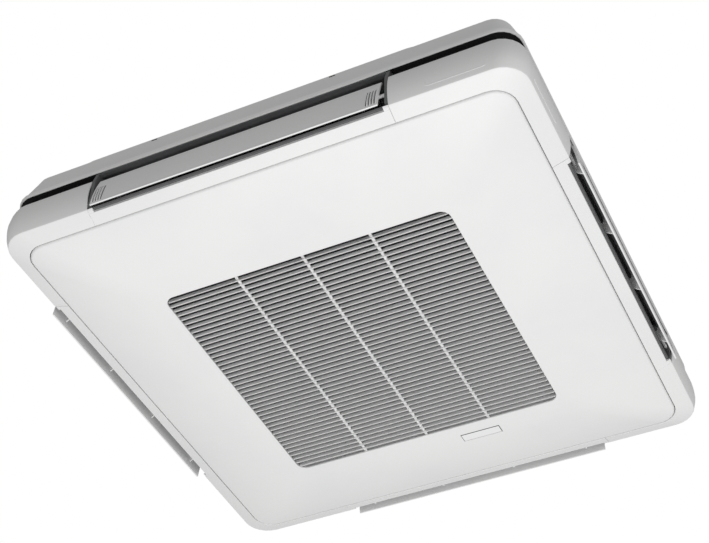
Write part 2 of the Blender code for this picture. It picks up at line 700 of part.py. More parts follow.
def grille_mesh():
    """Louvred grille: slats across the opening, ribs set back in it, and a ring above the panel."""
    low = level(-DOME_DEPTH)
    places = [(index - (SLAT_COUNT - 1) / 2) * SLAT_PITCH for index in range(SLAT_COUNT)]
    slats = [slat_mesh(y, low) for y in places]
    ring_low = low + PLASTIC_WALL + FIT_GAP
    ring_high = low + SLAT_HEIGHT + 0.0005
    rows = [
        rounded_square(GRILLE_HALF + outset, GRILLE_RADIUS + outset, z)
        for outset, z in (
            (GRILLE_RING_INNER, ring_high),
            (GRILLE_RING_INNER, ring_low),
            (GRILLE_RING_OUTER, ring_low),
            (GRILLE_RING_OUTER, ring_high),
        )
    ]
    reach = GRILLE_HALF + (GRILLE_RING_INNER + GRILLE_RING_OUTER) / 2
    ribs = [
        block(
            (middle - GRILLE_RIB_WALL / 2, -reach, low + GRILLE_RIB_RECESS),
            (middle + GRILLE_RIB_WALL / 2, reach, low + GRILLE_RIB_RECESS + GRILLE_RIB_HEIGHT),
        )
        for middle in (-GRILLE_RIB_PITCH, 0, GRILLE_RIB_PITCH)
    ]
    return carved(skin(rows), [("UNION", gathered(ribs)), ("UNION", gathered(slats))])


def filter_mesh():
    """Flat air filter: a border, crossing bars and a thin net."""
    low = level(-DOME_DEPTH) + SLAT_HEIGHT + 0.0005 + FIT_GAP
    high = low + FILTER_HEIGHT
    hole = FILTER_HALF - FILTER_BORDER
    rows = [
        rounded_square(half, GRILLE_RADIUS, z)
        for half, z in ((hole, high), (hole, low), (FILTER_HALF, low), (FILTER_HALF, high))
    ]
    middle = (low + high) / 2
    reach = hole + FILTER_BORDER / 2
    bars_x, bars_y = [], []
    for index in range(FILTER_BARS):
        place = (index - (FILTER_BARS - 1) / 2) * 2 * hole / (FILTER_BARS + 1)
        left, right = place - FILTER_BAR / 2, place + FILTER_BAR / 2
        bars_x.append(block((-reach, left, middle - 0.002), (reach, right, middle + 0.002)))
        bars_y.append(block((left, -reach, middle - 0.0015), (right, reach, middle + 0.0015)))
    net = block(
        (-reach, -reach, middle - FILTER_NET_WALL / 2), (reach, reach, middle + FILTER_NET_WALL / 2)
    )
    return carved(
        skin(rows), [("UNION", gathered(bars_x)), ("UNION", gathered(bars_y)), ("UNION", net)]
    )


def make_panel(white, grey, black):
    """What swings down together: panel, grille and filter, with the origin on the hinge axis."""
    axis_y = -(SEAM_HALF - SEAM_GAP / 2 - HINGE_AXIS_INSET)
    axis = Vector((0, axis_y, level(HINGE_AXIS_RISE)))
    hinge = add_empty("panel_hinge_axis", axis)
    for name, mesh, material in (
        ("suction_panel", panel_mesh(), white),
        ("suction_grille", grille_mesh(), grey),
        ("air_filter", filter_mesh(), black),
    ):
        add_part(name, moved(mesh, -axis), material, hinge)


def make_frame(grey, steel):
    """Frame that the covers and rails seat under, and the two arms that hold the panel's hinge pins."""
    outer = Section(FRAME_OUTER_HALF, RIM_RADIUS, FRAME_FLANGE_RISE)
    web_low = Section(FRAME_WEB_HALF, SEAM_RADIUS, FRAME_FLANGE_RISE)
    web_high = Section(FRAME_WEB_HALF, SEAM_RADIUS, FRAME_SHELF_RISE)
    shelf = Section(FRAME_INNER_HALF, SEAM_RADIUS, FRAME_SHELF_RISE)
    section = wall_section([shelf, web_high, web_low, outer], FRAME_WALL)
    add_part("under_frame", ring_wall(section), grey)

    axis_half = SEAM_HALF - SEAM_GAP / 2 - HINGE_AXIS_INSET
    top = FRAME_SHELF_RISE - FIT_GAP
    reach = axis_half - (top - HINGE_AXIS_RISE)
    arm = [
        (axis_half + 0.0004, HINGE_AXIS_RISE + 0.0018),
        (reach, top),
        (reach - HINGE_FOOT, top),
        (reach - HINGE_FOOT, top - FRAME_WALL),
        (reach - 0.001, top - FRAME_WALL),
        (axis_half - 0.0018, HINGE_AXIS_RISE - 0.0004),
    ]
    axis_y, axis_z = -axis_half, level(HINGE_AXIS_RISE)
    half_width = HINGE_EYE_WIDTH / 2
    eye = rod(HINGE_EYE_RADIUS, -half_width, half_width, axis_y, axis_z, 16)
    bore = rod(HINGE_BORE_RADIUS, -2 * half_width, 2 * half_width, axis_y, axis_z, 16)
    inner_half = half_width - 0.001
    hinge = carved(eye, [("UNION", side_prism(arm, -inner_half, inner_half)), ("DIFFERENCE", bore)])
    for name, x in (("left", -HINGE_POSITION), ("right", HINGE_POSITION)):
        add_part(f"panel_hinge_arm_{name}", hinge, steel, location=(x, 0, 0))


def make_machinery(foam, metal, dark, steel):
    """Drain pan, bell mouth, fan, motor, heat exchanger and control box."""
    pan_low = DUCT_BACK_FLOOR_RISE
    pan_high = pan_low + PAN_HEIGHT
    trough_rise = pan_high - TROUGH_DEPTH
    outer_wall = COIL_OUTER_HALF + TROUGH_MARGIN
    inner_wall = COIL_OUTER_HALF - COIL_WIDTH - TROUGH_MARGIN
    pan = [
        Section(PAN_INNER_HALF, PAN_RADIUS, pan_low),
        Section(PAN_OUTER_HALF, PAN_RADIUS, pan_low),
        Section(PAN_OUTER_HALF, PAN_RADIUS, pan_high),
        Section(outer_wall, COIL_RADIUS + TROUGH_MARGIN, pan_high),
        Section(outer_wall, COIL_RADIUS + TROUGH_MARGIN, trough_rise),
        Section(inner_wall, COIL_RADIUS - COIL_WIDTH - TROUGH_MARGIN, trough_rise),
        Section(inner_wall, COIL_RADIUS - COIL_WIDTH - TROUGH_MARGIN, pan_high - 0.008),
        Section(PAN_INNER_HALF, PAN_RADIUS, pan_high - 0.008),
    ]
    add_part("drain_pan", ring_wall(pan), foam)

    coil_low = trough_rise + FIT_GAP
    coil_inner = COIL_OUTER_HALF - COIL_WIDTH
    coil = [
        Section(coil_inner, COIL_RADIUS - COIL_WIDTH, coil_low),
        Section(COIL_OUTER_HALF, COIL_RADIUS, coil_low),
        Section(COIL_OUTER_HALF, COIL_RADIUS, COIL_TOP_RISE),
        Section(coil_inner, COIL_RADIUS - COIL_WIDTH, COIL_TOP_RISE),
    ]
    add_part("heat_exchanger", ring_wall(coil), metal)
    add_part("bell_mouth", bell_mesh(pan_low - FIT_GAP), dark)
    add_part("fan_wheel", fan_mesh(), dark)
    plate_under = BODY_HEIGHT - SHEET_WALL - FIT_GAP
    shaft = SHAFT_RADIUS
    motor = [
        (shaft, FAN_EYE_RISE - 0.004),
        (shaft, MOTOR_LOW_RISE),
        (MOTOR_RADIUS - 0.006, MOTOR_LOW_RISE),
        (MOTOR_RADIUS, MOTOR_LOW_RISE + 0.008),
        (MOTOR_RADIUS, MOTOR_FOOT_RISE),
        (MOTOR_FOOT_RADIUS, MOTOR_FOOT_RISE),
        (MOTOR_FOOT_RADIUS, plate_under),
    ]
    add_part("fan_motor", turned_solid(motor, 20), steel)

    high = level(pan_low - FIT_GAP)
    half = CONTROL_BOX / 2
    low_corner = (-half.x, CONTROL_BOX_Y - half.y, high - CONTROL_BOX.z)
    box = block(low_corner, (half.x, CONTROL_BOX_Y + half.y, high))
    add_part("control_box", box, steel)


def bell_mesh(top_rise):
    """Square plate with a bell-shaped inlet that narrows to a collar inside the fan's eye."""
    curve = [Section(BELL_PLATE_HALF, 0.020, top_rise - BELL_WALL)]
    mouth_width = BELL_MOUTH_RADIUS - BELL_THROAT_RADIUS
    height = BELL_THROAT_RISE - (top_rise - BELL_WALL)
    steps = 6
    for step in range(steps + 1):
        angle = math.pi / 2 * step / steps
        radius = BELL_MOUTH_RADIUS - mouth_width * math.sin(angle)
        curve.append(Section(radius, 0, BELL_THROAT_RISE - height * math.cos(angle)))
    curve.append(Section(BELL_THROAT_RADIUS, 0, BELL_THROAT_RISE + BELL_COLLAR))
    section = wall_section(list(reversed(curve)), BELL_WALL)
    rows = []
    for point in section:
        square = point.half > BELL_PLATE_HALF - 0.01
        rows.append(
            rounded_square(BELL_PLATE_HALF, 0.020, level(point.rise))
            if square
            else circle(point.half, level(point.rise))
        )
    return skin(rows)


def fan_mesh():
    """Turbo fan wheel: back plate with a hub over the motor, inlet shroud and backward-curved blades."""
    bore = SHAFT_RADIUS + FIT_GAP
    back = [
        Section(bore, 0, FAN_EYE_RISE),
        Section(0.038, 0, FAN_EYE_RISE + 0.002),
        Section(FAN_HUB_RADIUS - 0.009, 0, FAN_EYE_RISE + 0.022),
        Section(FAN_HUB_RADIUS, 0, FAN_BACK_RISE),
        Section(FAN_RADIUS - 0.003, 0, FAN_BACK_RISE + 0.0035),
    ]
    back_plate = turned([(s.half, s.rise) for s in wall_section(back, FAN_WALL)], 36)

    inlet = Section(FAN_INLET_RADIUS, 0, FAN_SHROUD_LOW_RISE)
    rim = Section(FAN_RADIUS, 0, FAN_SHROUD_HIGH_RISE)
    curve = []
    steps = 5
    for step in range(steps + 1):
        angle = math.pi / 2 * step / steps
        curve.append(
            Section(
                rim.half - (rim.half - inlet.half) * math.cos(angle),
                0,
                inlet.rise + (rim.rise - inlet.rise) * math.sin(angle),
            )
        )
    shroud = turned([(s.half, s.rise) for s in wall_section(list(reversed(curve)), FAN_WALL)], 36)

    def low_rise(radius):
        reach = max(radius, inlet.half + 0.002)
        share = (rim.half - reach) / (rim.half - inlet.half)
        angle = math.acos(min(1, share))
        return inlet.rise + (rim.rise - inlet.rise) * math.sin(angle) - 0.5 * FAN_WALL

    blades = []
    for index in range(FAN_BLADES):
        rows = []
        for step in range(7):
            share = step / 6
            radius = FAN_BLADE_INNER_RADIUS + (FAN_RADIUS - 0.005 - FAN_BLADE_INNER_RADIUS) * share
            angle = 2 * math.pi * index / FAN_BLADES - FAN_BLADE_SWEEP * share**1.3
            across = Vector((-math.sin(angle), math.cos(angle), 0)) * FAN_BLADE_WALL / 2
            middle = Vector((radius * math.cos(angle), radius * math.sin(angle), 0))
            bottom = low_rise(radius)
            if radius < inlet.half + 0.002:
                bottom += (inlet.half + 0.002 - radius) * 0.35
            top = FAN_BACK_RISE + 0.0035 * share + 0.4 * FAN_WALL + 0.001
            lift_low, lift_high = Vector((0, 0, level(bottom))), Vector((0, 0, level(top)))
            rows.append(
                [
                    middle - across + lift_low,
                    middle + across + lift_low,
                    middle + across + lift_high,
                    middle - across + lift_high,
                ]
            )
        blades.append(skin(rows, wrap_rows=False))
    return carved(back_plate, [("UNION", gathered(blades)), ("UNION", shroud)])


def main():
    clear_scene()
    white = make_material("white_plastic", (0.86, 0.86, 0.85), 0.42)
    grille_white = make_material("grille_plastic", (0.84, 0.84, 0.83), 0.45)
    dark = make_material("dark_duct", (0.06, 0.06, 0.065), 0.55)
    black = make_material("black_foam", (0.012, 0.012, 0.013), 0.85)
    steel = make_material("galvanised_steel", (0.55, 0.56, 0.57), 0.38, 1.0)
    foam = make_material("pan_foam", (0.75, 0.76, 0.77), 0.8)
    fins = make_material("aluminium_fins", (0.70, 0.71, 0.72), 0.35, 1.0)
    make_top(white, steel)
    make_corners(white, black)
    make_outlets(white, dark)
    make_panel(white, grille_white, black)
    make_frame(grille_white, steel)
    make_machinery(foam, fins, dark, steel)


main()
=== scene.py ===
"""Looks of a four-way ceiling-suspended air conditioner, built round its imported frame.

The frame gives the solids, in metres, with the origin in the middle of the top face, +Z up and the
front at -Y. Each class below dresses one sub-assembly: it gives the frame's nodes merged, softly
edged copies with their finishes, and adds the small parts that the solids leave out.
"""

import json
import logging
import math
from dataclasses import dataclass, field
from enum import Enum
from functools import cached_property
from typing import Iterable

import bmesh
import bpy
from mathutils import Matrix, Vector
from mathutils.bvhtree import BVHTree

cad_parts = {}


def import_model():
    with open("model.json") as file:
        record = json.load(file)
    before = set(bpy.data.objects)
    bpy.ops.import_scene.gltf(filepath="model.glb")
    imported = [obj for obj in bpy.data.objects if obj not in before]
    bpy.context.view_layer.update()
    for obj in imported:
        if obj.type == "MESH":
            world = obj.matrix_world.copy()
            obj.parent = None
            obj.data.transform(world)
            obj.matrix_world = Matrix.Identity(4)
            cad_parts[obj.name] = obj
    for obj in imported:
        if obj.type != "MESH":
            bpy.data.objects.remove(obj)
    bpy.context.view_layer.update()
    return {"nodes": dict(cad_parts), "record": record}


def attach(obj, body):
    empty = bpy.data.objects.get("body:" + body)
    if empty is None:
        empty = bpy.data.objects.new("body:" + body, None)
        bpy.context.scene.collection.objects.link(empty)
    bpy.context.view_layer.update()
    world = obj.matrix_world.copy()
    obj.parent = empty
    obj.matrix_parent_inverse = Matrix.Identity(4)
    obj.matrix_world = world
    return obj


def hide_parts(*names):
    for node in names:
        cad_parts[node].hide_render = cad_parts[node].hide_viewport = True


LOG = logging.getLogger("air_conditioner")

# Lengths in metres and angles in degrees

SEAM_LEVEL = -0.171
SEAM_EDGE_RISE = 0.0008
SEAM_EDGE_RADIUS = 0.0013
OUTLET_SHIFT = 0.020
OUTSIDE = 0.6
SHARP_ANGLE = 32.0
SOFTENED_ANGLE = 40.0

# Sockets of a Mix node for colours, by index because their names come more than once

MIX_LOW, MIX_HIGH, MIX_RESULT = 6, 7, 2

Colour = tuple[float, float, float]
Point = tuple[float, float, float]
Shape = bmesh.types.BMesh
Socket = bpy.types.NodeSocket
Tree = bpy.types.NodeTree

UP: Point = (0.0, 0.0, 1.0)
DOWN: Point = (0.0, 0.0, -1.0)


class Slot(Enum):
    """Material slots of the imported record."""

    WHITE = "white_plastic"
    GRILLE = "grille_plastic"
    DUCT = "dark_duct"
    FOAM = "black_foam"
    STEEL = "galvanised_steel"
    PAN = "pan_foam"
    FINS = "aluminium_fins"


class Side(Enum):
    """Sides of the unit, as quarter turns from the front."""

    FRONT = 0
    RIGHT = 1
    BACK = 2
    LEFT = 3

    @property
    def turn(self) -> Matrix:
        """Rotation that brings the front to this side."""
        return Matrix.Rotation(self.value * math.pi / 2, 4, "Z")

    @property
    def word(self) -> str:
        """Name of the side as the nodes spell it."""
        return self.name.lower()

    @property
    def shift(self) -> float:
        """How far the middle of the outlet is off the middle of this side, along the side."""
        return -OUTLET_SHIFT if self.value % 2 == 0 else OUTLET_SHIFT


# Node groups


class TreeBuilder:
    """Adds nodes to a shader's tree."""

    def __init__(self, tree: Tree) -> None:
        """Keeps the tree."""
        self.tree = tree

    def node(self, kind: str, values: dict | None = None, **properties: object) -> bpy.types.Node:
        """Adds a node.

        Args:
            kind: Blender's type name of the node.
            values: What each input gets, a socket to link or a value, by input name or index.
            **properties: Settings of the node itself.

        Returns:
            The new node.
        """
        node = self.tree.nodes.new(kind)
        for name, value in properties.items():
            setattr(node, name, value)
        for name, value in (values or {}).items():
            if isinstance(value, Socket):
                self.tree.links.new(value, node.inputs[name])
            else:
                node.inputs[name].default_value = value
        return node

    def math(self, operation: str, *values: Socket | float) -> Socket:
        """Adds a math node with its values in order."""
        return self.node("ShaderNodeMath", dict(enumerate(values)), operation=operation).outputs[0]


class EffectGroup(TreeBuilder):
    """A node group with named sockets that several finishes share."""

    def __init__(self, name: str, inputs: dict[str, float | None], outputs: Iterable[str]) -> None:
        """Makes the group and its sockets.

        Args:
            name: Name of the group.
            inputs: Default of each input by name, or None for a vector.
            outputs: Names of the value outputs.
        """
        super().__init__(bpy.data.node_groups.new(name, "ShaderNodeTree"))
        for label, default in inputs.items():
            kind = "NodeSocketVector" if default is None else "NodeSocketFloat"
            socket = self.tree.interface.new_socket(label, in_out="INPUT", socket_type=kind)
            if default is not None:
                socket.default_value = default
        for label in outputs:
            self.tree.interface.new_socket(label, in_out="OUTPUT", socket_type="NodeSocketFloat")
        self.source = self.node("NodeGroupInput").outputs
        self.result = self.node("NodeGroupOutput").inputs

    def noise(self, **values: float) -> Socket:
        """Adds noise at the group's own place and scale, with other values by name."""
        own = {"Vector": self.source["Vector"], "Scale": self.source["Scale"]}
        return self.node("ShaderNodeTexNoise", own | values).outputs["Fac"]

    def cells(self, **properties: str) -> bpy.types.NodeOutputs:
        """Adds cells at the group's own place and scale."""
        own = {"Vector": self.source["Vector"], "Scale": self.source["Scale"]}
        return self.node("ShaderNodeTexVoronoi", own, **properties).outputs

    def give(self, label: str, socket: Socket) -> None:
        """Links a socket to one of the group's outputs."""
        self.tree.links.new(socket, self.result[label])


class Effects:
    """The node groups that the finishes share, each built once, when it is first used."""

    MARK_RANGE = (0.35, 0.70)
    EDGE_LIKENESS = (0.995, 0.80)
    RUB_AND_HIGHLIGHT_SAMPLES = 4
    CLOUD_SCALE = 40.0

    @cached_property
    def grain(self) -> Tree:
        """Builds the fine spark-eroded texture of a moulded face.

        Returns:
            The group, which gives a height.
        """
        group = EffectGroup("mould_grain", {"Vector": None, "Scale": 900.0}, ["Height"])
        group.give("Height", group.noise(Detail=2.0, Roughness=0.6))
        return group.tree

    @cached_property
    def marks(self) -> Tree:
        """Builds broad faint patches, as handling and dust leave on a large smooth face.

        Returns:
            The group, which gives a mask.
        """
        group = EffectGroup("soft_marks", {"Vector": None, "Scale": 6.0, "Amount": 0.5}, ["Mask"])
        low, high = self.MARK_RANGE
        broad = group.noise(Detail=4.0, Roughness=0.55)
        values = {"Value": broad, "From Min": low, "From Max": high}
        spread = group.node("ShaderNodeMapRange", values, interpolation_type="SMOOTHSTEP")
        patches = spread.outputs["Result"]
        group.give("Mask", group.math("MULTIPLY", patches, group.source["Amount"]))
        return group.tree

    @cached_property
    def rub_and_highlight(self) -> Tree:
        """Builds a mask along convex edges, broken up by noise, where the finishes lighten the
        colour as rubbed wear and as a painted highlight.

        Returns:
            The group, which gives a mask.
        """
        sockets = {"Vector": None, "Radius": 0.001, "Amount": 0.5, "Scale": 60.0}
        group = EffectGroup("edge_wear", sockets, ["Mask"])
        values = {"Radius": group.source["Radius"]}
        soft = group.node("ShaderNodeBevel", values, samples=self.RUB_AND_HIGHLIGHT_SAMPLES)
        hard = group.node("ShaderNodeNewGeometry")
        values = {0: soft.outputs["Normal"], 1: hard.outputs["Normal"]}
        likeness = group.node("ShaderNodeVectorMath", values, operation="DOT_PRODUCT")
        flat, edged = self.EDGE_LIKENESS
        values = {"Value": likeness.outputs["Value"], "From Min": flat, "From Max": edged}
        edge = group.node("ShaderNodeMapRange", values).outputs["Result"]
        broken = group.math("MULTIPLY", edge, group.noise())
        group.give("Mask", group.math("MULTIPLY", broken, group.source["Amount"]))
        return group.tree

    @cached_property
    def spangle(self) -> Tree:
        """Builds the crystal pattern of a zinc coat.

        Returns:
            The group, which gives a shade.
        """
        group = EffectGroup("zinc_spangle", {"Vector": None, "Scale": 110.0}, ["Shade"])
        clouds = group.noise(Scale=self.CLOUD_SCALE, Detail=2.0)
        grey = group.node("ShaderNodeSeparateColor", {"Color": group.cells()["Color"]})
        group.give("Shade", group.math("MULTIPLY", grey.outputs["Red"], clouds))
        return group.tree

    @cached_property
    def lines(self) -> Tree:
        """Builds evenly pitched lines across both level directions, one set for each.

        Returns:
            The group, which gives a wave along X and one along Y.
        """
        group = EffectGroup("pitched_lines", {"Vector": None, "Pitch": 0.002}, ["Along", "Across"])
        split = group.node("ShaderNodeSeparateXYZ", {"Vector": group.source["Vector"]})
        for axis, label in (("X", "Along"), ("Y", "Across")):
            share = group.math("DIVIDE", split.outputs[axis], group.source["Pitch"])
            group.give(label, group.math("PINGPONG", share, 1.0))
        return group.tree

    @cached_property
    def beads(self) -> Tree:
        """Builds the fused beads of moulded foam, or the pores of an open one.

        Returns:
            The group, which gives a height and a shade.
        """
        group = EffectGroup("foam_beads", {"Vector": None, "Scale": 260.0}, ["Height", "Shade"])
        cells = group.cells(feature="SMOOTH_F1")
        grey = group.node("ShaderNodeSeparateColor", {"Color": cells["Color"]})
        group.give("Height", cells["Distance"])
        group.give("Shade", grey.outputs["Green"])
        return group.tree


# Finishes


class FinishBuilder(TreeBuilder):
    """Node tree of one material, with the calls that the finishes share."""

    def __init__(self, name: str, roughness: float, metallic: float = 0.0) -> None:
        """Makes the material with its shader.

        Args:
            name: Name of the material.
            roughness: Roughness where nothing varies it.
            metallic: Metallic share of the shader.
        """
        self.material = bpy.data.materials.new(name)
        self.material.use_nodes = True
        super().__init__(self.material.node_tree)
        self.shader = self.tree.nodes["Principled BSDF"]
        self.set("Roughness", roughness)
        self.set("Metallic", metallic)
        self.place = self.node("ShaderNodeTexCoord").outputs["Object"]

    def set(self, label: str, value: float | tuple[float, ...]) -> None:
        """Sets a value on the shader's own socket."""
        self.shader.inputs[label].default_value = value

    def effect(self, group: Tree, **values: float) -> bpy.types.NodeOutputs:
        """Places a shared effect, with the values of its inputs by name."""
        own = {"Vector": self.place}
        return self.node("ShaderNodeGroup", own | values, node_tree=group).outputs

    def blend(self, mask: Socket, low: Colour | Socket, high: Colour) -> Socket:
        """Mixes two colours.

        Args:
            mask: 0 where the low colour shows, 1 where the high one does.
            low: A colour, or the socket of one.
            high: The other colour.

        Returns:
            The socket of the mixed colour.
        """
        start = low if isinstance(low, Socket) else (*low, 1.0)
        values = {"Factor": mask, MIX_LOW: start, MIX_HIGH: (*high, 1.0)}
        return self.node("ShaderNodeMix", values, data_type="RGBA").outputs[MIX_RESULT]

    def spread(self, value: Socket, low: float, high: float) -> Socket:
        """Maps a value from 0 to 1 to low to high."""
        values = {"Value": value, "To Min": low, "To Max": high}
        return self.node("ShaderNodeMapRange", values).outputs["Result"]

    def colour(self, socket: Socket) -> None:
        """Links the base colour."""
        self.tree.links.new(socket, self.shader.inputs["Base Color"])

    def rough(self, socket: Socket) -> None:
        """Links the roughness."""
        self.tree.links.new(socket, self.shader.inputs["Roughness"])

    def bump(self, height: Socket, depth: float, strength: float) -> None:
        """Adds a bump under the shader's normal.

        Args:
            height: Height from 0 to 1.
            depth: Depth in metres that a height of 1 stands for.
            strength: Share of the bump that shows.
        """
        values = {"Height": height, "Distance": depth, "Strength": strength}
        node = self.node("ShaderNodeBump", values)
        self.tree.links.new(node.outputs["Normal"], self.shader.inputs["Normal"])


@dataclass(frozen=True)
class MouldedPlastic:
    """Moulded plastic with a fine grain, faint marks and slightly lighter convex edges, partly
    rubbed wear and partly a painted highlight.
    """

    name: str
    colour: Colour
    marked: Colour
    roughness: float = 0.42
    roughness_spread: float = 0.08
    grain_scale: float = 900.0
    grain_depth: float = 0.00003
    grain_strength: float = 0.35
    mark_scale: float = 5.0
    mark_amount: float = 0.6
    rub_and_highlight_radius: float = 0.0012
    rub_and_highlight_amount: float = 0.35
    rub_and_highlight_gain: float = 1.05
    rub_and_highlight_lift: float = 0.01
    soaked_light: float = 0.0
    soak_depth: float = 0.009

    def make(self, effects: Effects) -> bpy.types.Material:
        """Builds the material.

        Args:
            effects: The shared node groups.

        Returns:
            The material.
        """
        build = FinishBuilder(self.name, self.roughness)
        build.set("Subsurface Weight", self.soaked_light)
        build.set("Subsurface Radius", (1.0, 1.0, 1.0))
        build.set("Subsurface Scale", self.soak_depth)
        mask = build.effect(effects.marks, Scale=self.mark_scale, Amount=self.mark_amount)["Mask"]
        rub_and_highlight_mask = build.effect(effects.rub_and_highlight, Radius=self.rub_and_highlight_radius, Amount=self.rub_and_highlight_amount)["Mask"]
        base = build.blend(mask, self.colour, self.marked)
        # Convex edges made lighter: rubbed wear and a painted highlight, as if the edges caught the
        # light.
        rub_and_highlight_colour = tuple(min(1.0, value * self.rub_and_highlight_gain + self.rub_and_highlight_lift) for value in self.colour)
        build.colour(build.blend(rub_and_highlight_mask, base, rub_and_highlight_colour))
        build.rough(build.spread(mask, self.roughness, self.roughness + self.roughness_spread))
        grain = build.effect(effects.grain, Scale=self.grain_scale)["Height"]
        build.bump(grain, self.grain_depth, self.grain_strength)
        return build.material


@dataclass(frozen=True)
class ZincSheet:
    """Galvanised sheet steel with its spangle and lighter convex edges, partly worn zinc and partly
    a painted highlight.
    """

    name: str = "galvanised_sheet"
    dark: Colour = (0.42, 0.43, 0.45)
    light: Colour = (0.66, 0.67, 0.69)
    # Colour of the convex edges, lighter than the spangle: worn zinc and a painted highlight.
    edge: Colour = (0.78, 0.79, 0.80)
    roughness: float = 0.36
    roughness_spread: float = 0.18
    scale: float = 110.0
    rub_and_highlight_radius: float = 0.0008
    rub_and_highlight_amount: float = 0.7
    mark_scale: float = 9.0
    grain_scale: float = 500.0
    grain_depth: float = 0.00003
    grain_strength: float = 0.4

    def make(self, effects: Effects) -> bpy.types.Material:
        """Builds the material.

        Args:
            effects: The shared node groups.

        Returns:
            The material.
        """
        build = FinishBuilder(self.name, self.roughness, 1.0)
        shade = build.effect(effects.spangle, Scale=self.scale)["Shade"]
        rub_and_highlight_mask = build.effect(effects.rub_and_highlight, Radius=self.rub_and_highlight_radius, Amount=self.rub_and_highlight_amount)["Mask"]
        # Convex edges blend to the lighter edge colour: worn zinc and a painted highlight.
        build.colour(build.blend(rub_and_highlight_mask, build.blend(shade, self.light, self.dark), self.edge))
        mask = build.effect(effects.marks, Scale=self.mark_scale, Amount=1.0)["Mask"]
        build.rough(build.spread(mask, self.roughness, self.roughness + self.roughness_spread))
        grain = build.effect(effects.grain, Scale=self.grain_scale)["Height"]
        build.bump(grain, self.grain_depth, self.grain_strength)
        return build.material


@dataclass(frozen=True)
class CellFoam:
    """Foam with visible beads or pores."""

    name: str
    colour: Colour
    shade: Colour
    scale: float
    depth: float
    strength: float = 0.8
    roughness: float = 0.85
    roughness_range: tuple[float, float] = (0.75, 0.90)
    mark_scale: float = 8.0

    def make(self, effects: Effects) -> bpy.types.Material:
        """Builds the material.

        Args:
            effects: The shared node groups.

        Returns:
            The material.
        """
        build = FinishBuilder(self.name, self.roughness)
        cells = build.effect(effects.beads, Scale=self.scale)
        build.colour(build.blend(cells["Shade"], self.colour, self.shade))
        mask = build.effect(effects.marks, Scale=self.mark_scale, Amount=1.0)["Mask"]
        build.rough(build.spread(mask, *self.roughness_range))
        build.bump(cells["Height"], self.depth, self.strength)
        return build.material


@dataclass(frozen=True)
class PitchedMetal:
    """Thin metal fins packed side by side, upright on every side of the coil, drawn as light fin
    edges with painted shade in the gaps between them.
    """

    name: str = "coil_fins"
    pitch: float = 0.0018
    light: Colour = (0.74, 0.75, 0.76)
    # Colour of the gaps between the fins: painted shade.
    dark: Colour = (0.16, 0.16, 0.17)
    roughness: float = 0.38
    gap_roughness: float = 0.5
    fin_roughness: float = 0.3
    depth: float = 0.0006
    strength: float = 0.9

    def make(self, effects: Effects) -> bpy.types.Material:
        """Builds the material.

        Args:
            effects: The shared node groups.

        Returns:
            The material.
        """
        build = FinishBuilder(self.name, self.roughness, 1.0)
        lines = build.effect(effects.lines, Pitch=self.pitch)
        facing = build.node("ShaderNodeNewGeometry").outputs["True Normal"]
        parts = build.node("ShaderNodeSeparateXYZ", {"Vector": facing})
        sideways = build.math("ABSOLUTE", parts.outputs["X"])
        values = {"Factor": sideways, 2: lines["Along"], 3: lines["Across"]}
        fins = build.node("ShaderNodeMix", values, data_type="FLOAT").outputs[0]
        # Fin edges light, the gaps between them painted dark as shade.
        build.colour(build.blend(fins, self.dark, self.light))
        build.rough(build.spread(fins, self.gap_roughness, self.fin_roughness))
        build.bump(fins, self.depth, self.strength)
        return build.material


@dataclass(frozen=True)
class WovenNet:
    """Fine plastic net of a washable filter. Its threads are near-black, a dark net that also
    paints the shade seen through the grille's gaps, and the holes between them are painted black as
    shade.
    """

    name: str = "filter_net"
    pitch: float = 0.0012
    # Thread colour, near-black: a dark net that also paints the shade in the grille's gaps.
    colour: Colour = (0.014, 0.014, 0.015)
    # Colour of the holes between the threads: painted shade.
    hole_shade: Colour = (0.003, 0.003, 0.003)
    roughness: float = 0.62
    gap_roughness: float = 0.80
    thread_roughness: float = 0.65
    gloss: float = 0.15
    depth: float = 0.0004
    strength: float = 0.8

    def make(self, effects: Effects) -> bpy.types.Material:
        """Builds the material.

        Args:
            effects: The shared node groups.

        Returns:
            The material.
        """
        build = FinishBuilder(self.name, self.roughness)
        build.set("Specular IOR Level", self.gloss)
        lines = build.effect(effects.lines, Pitch=self.pitch)
        threads = build.math("MAXIMUM", lines["Along"], lines["Across"])
        # Holes painted as near-black shade between the near-black threads.
        build.colour(build.blend(threads, self.hole_shade, self.colour))
        build.rough(build.spread(threads, self.gap_roughness, self.thread_roughness))
        build.bump(threads, self.depth, self.strength)
        return build.material


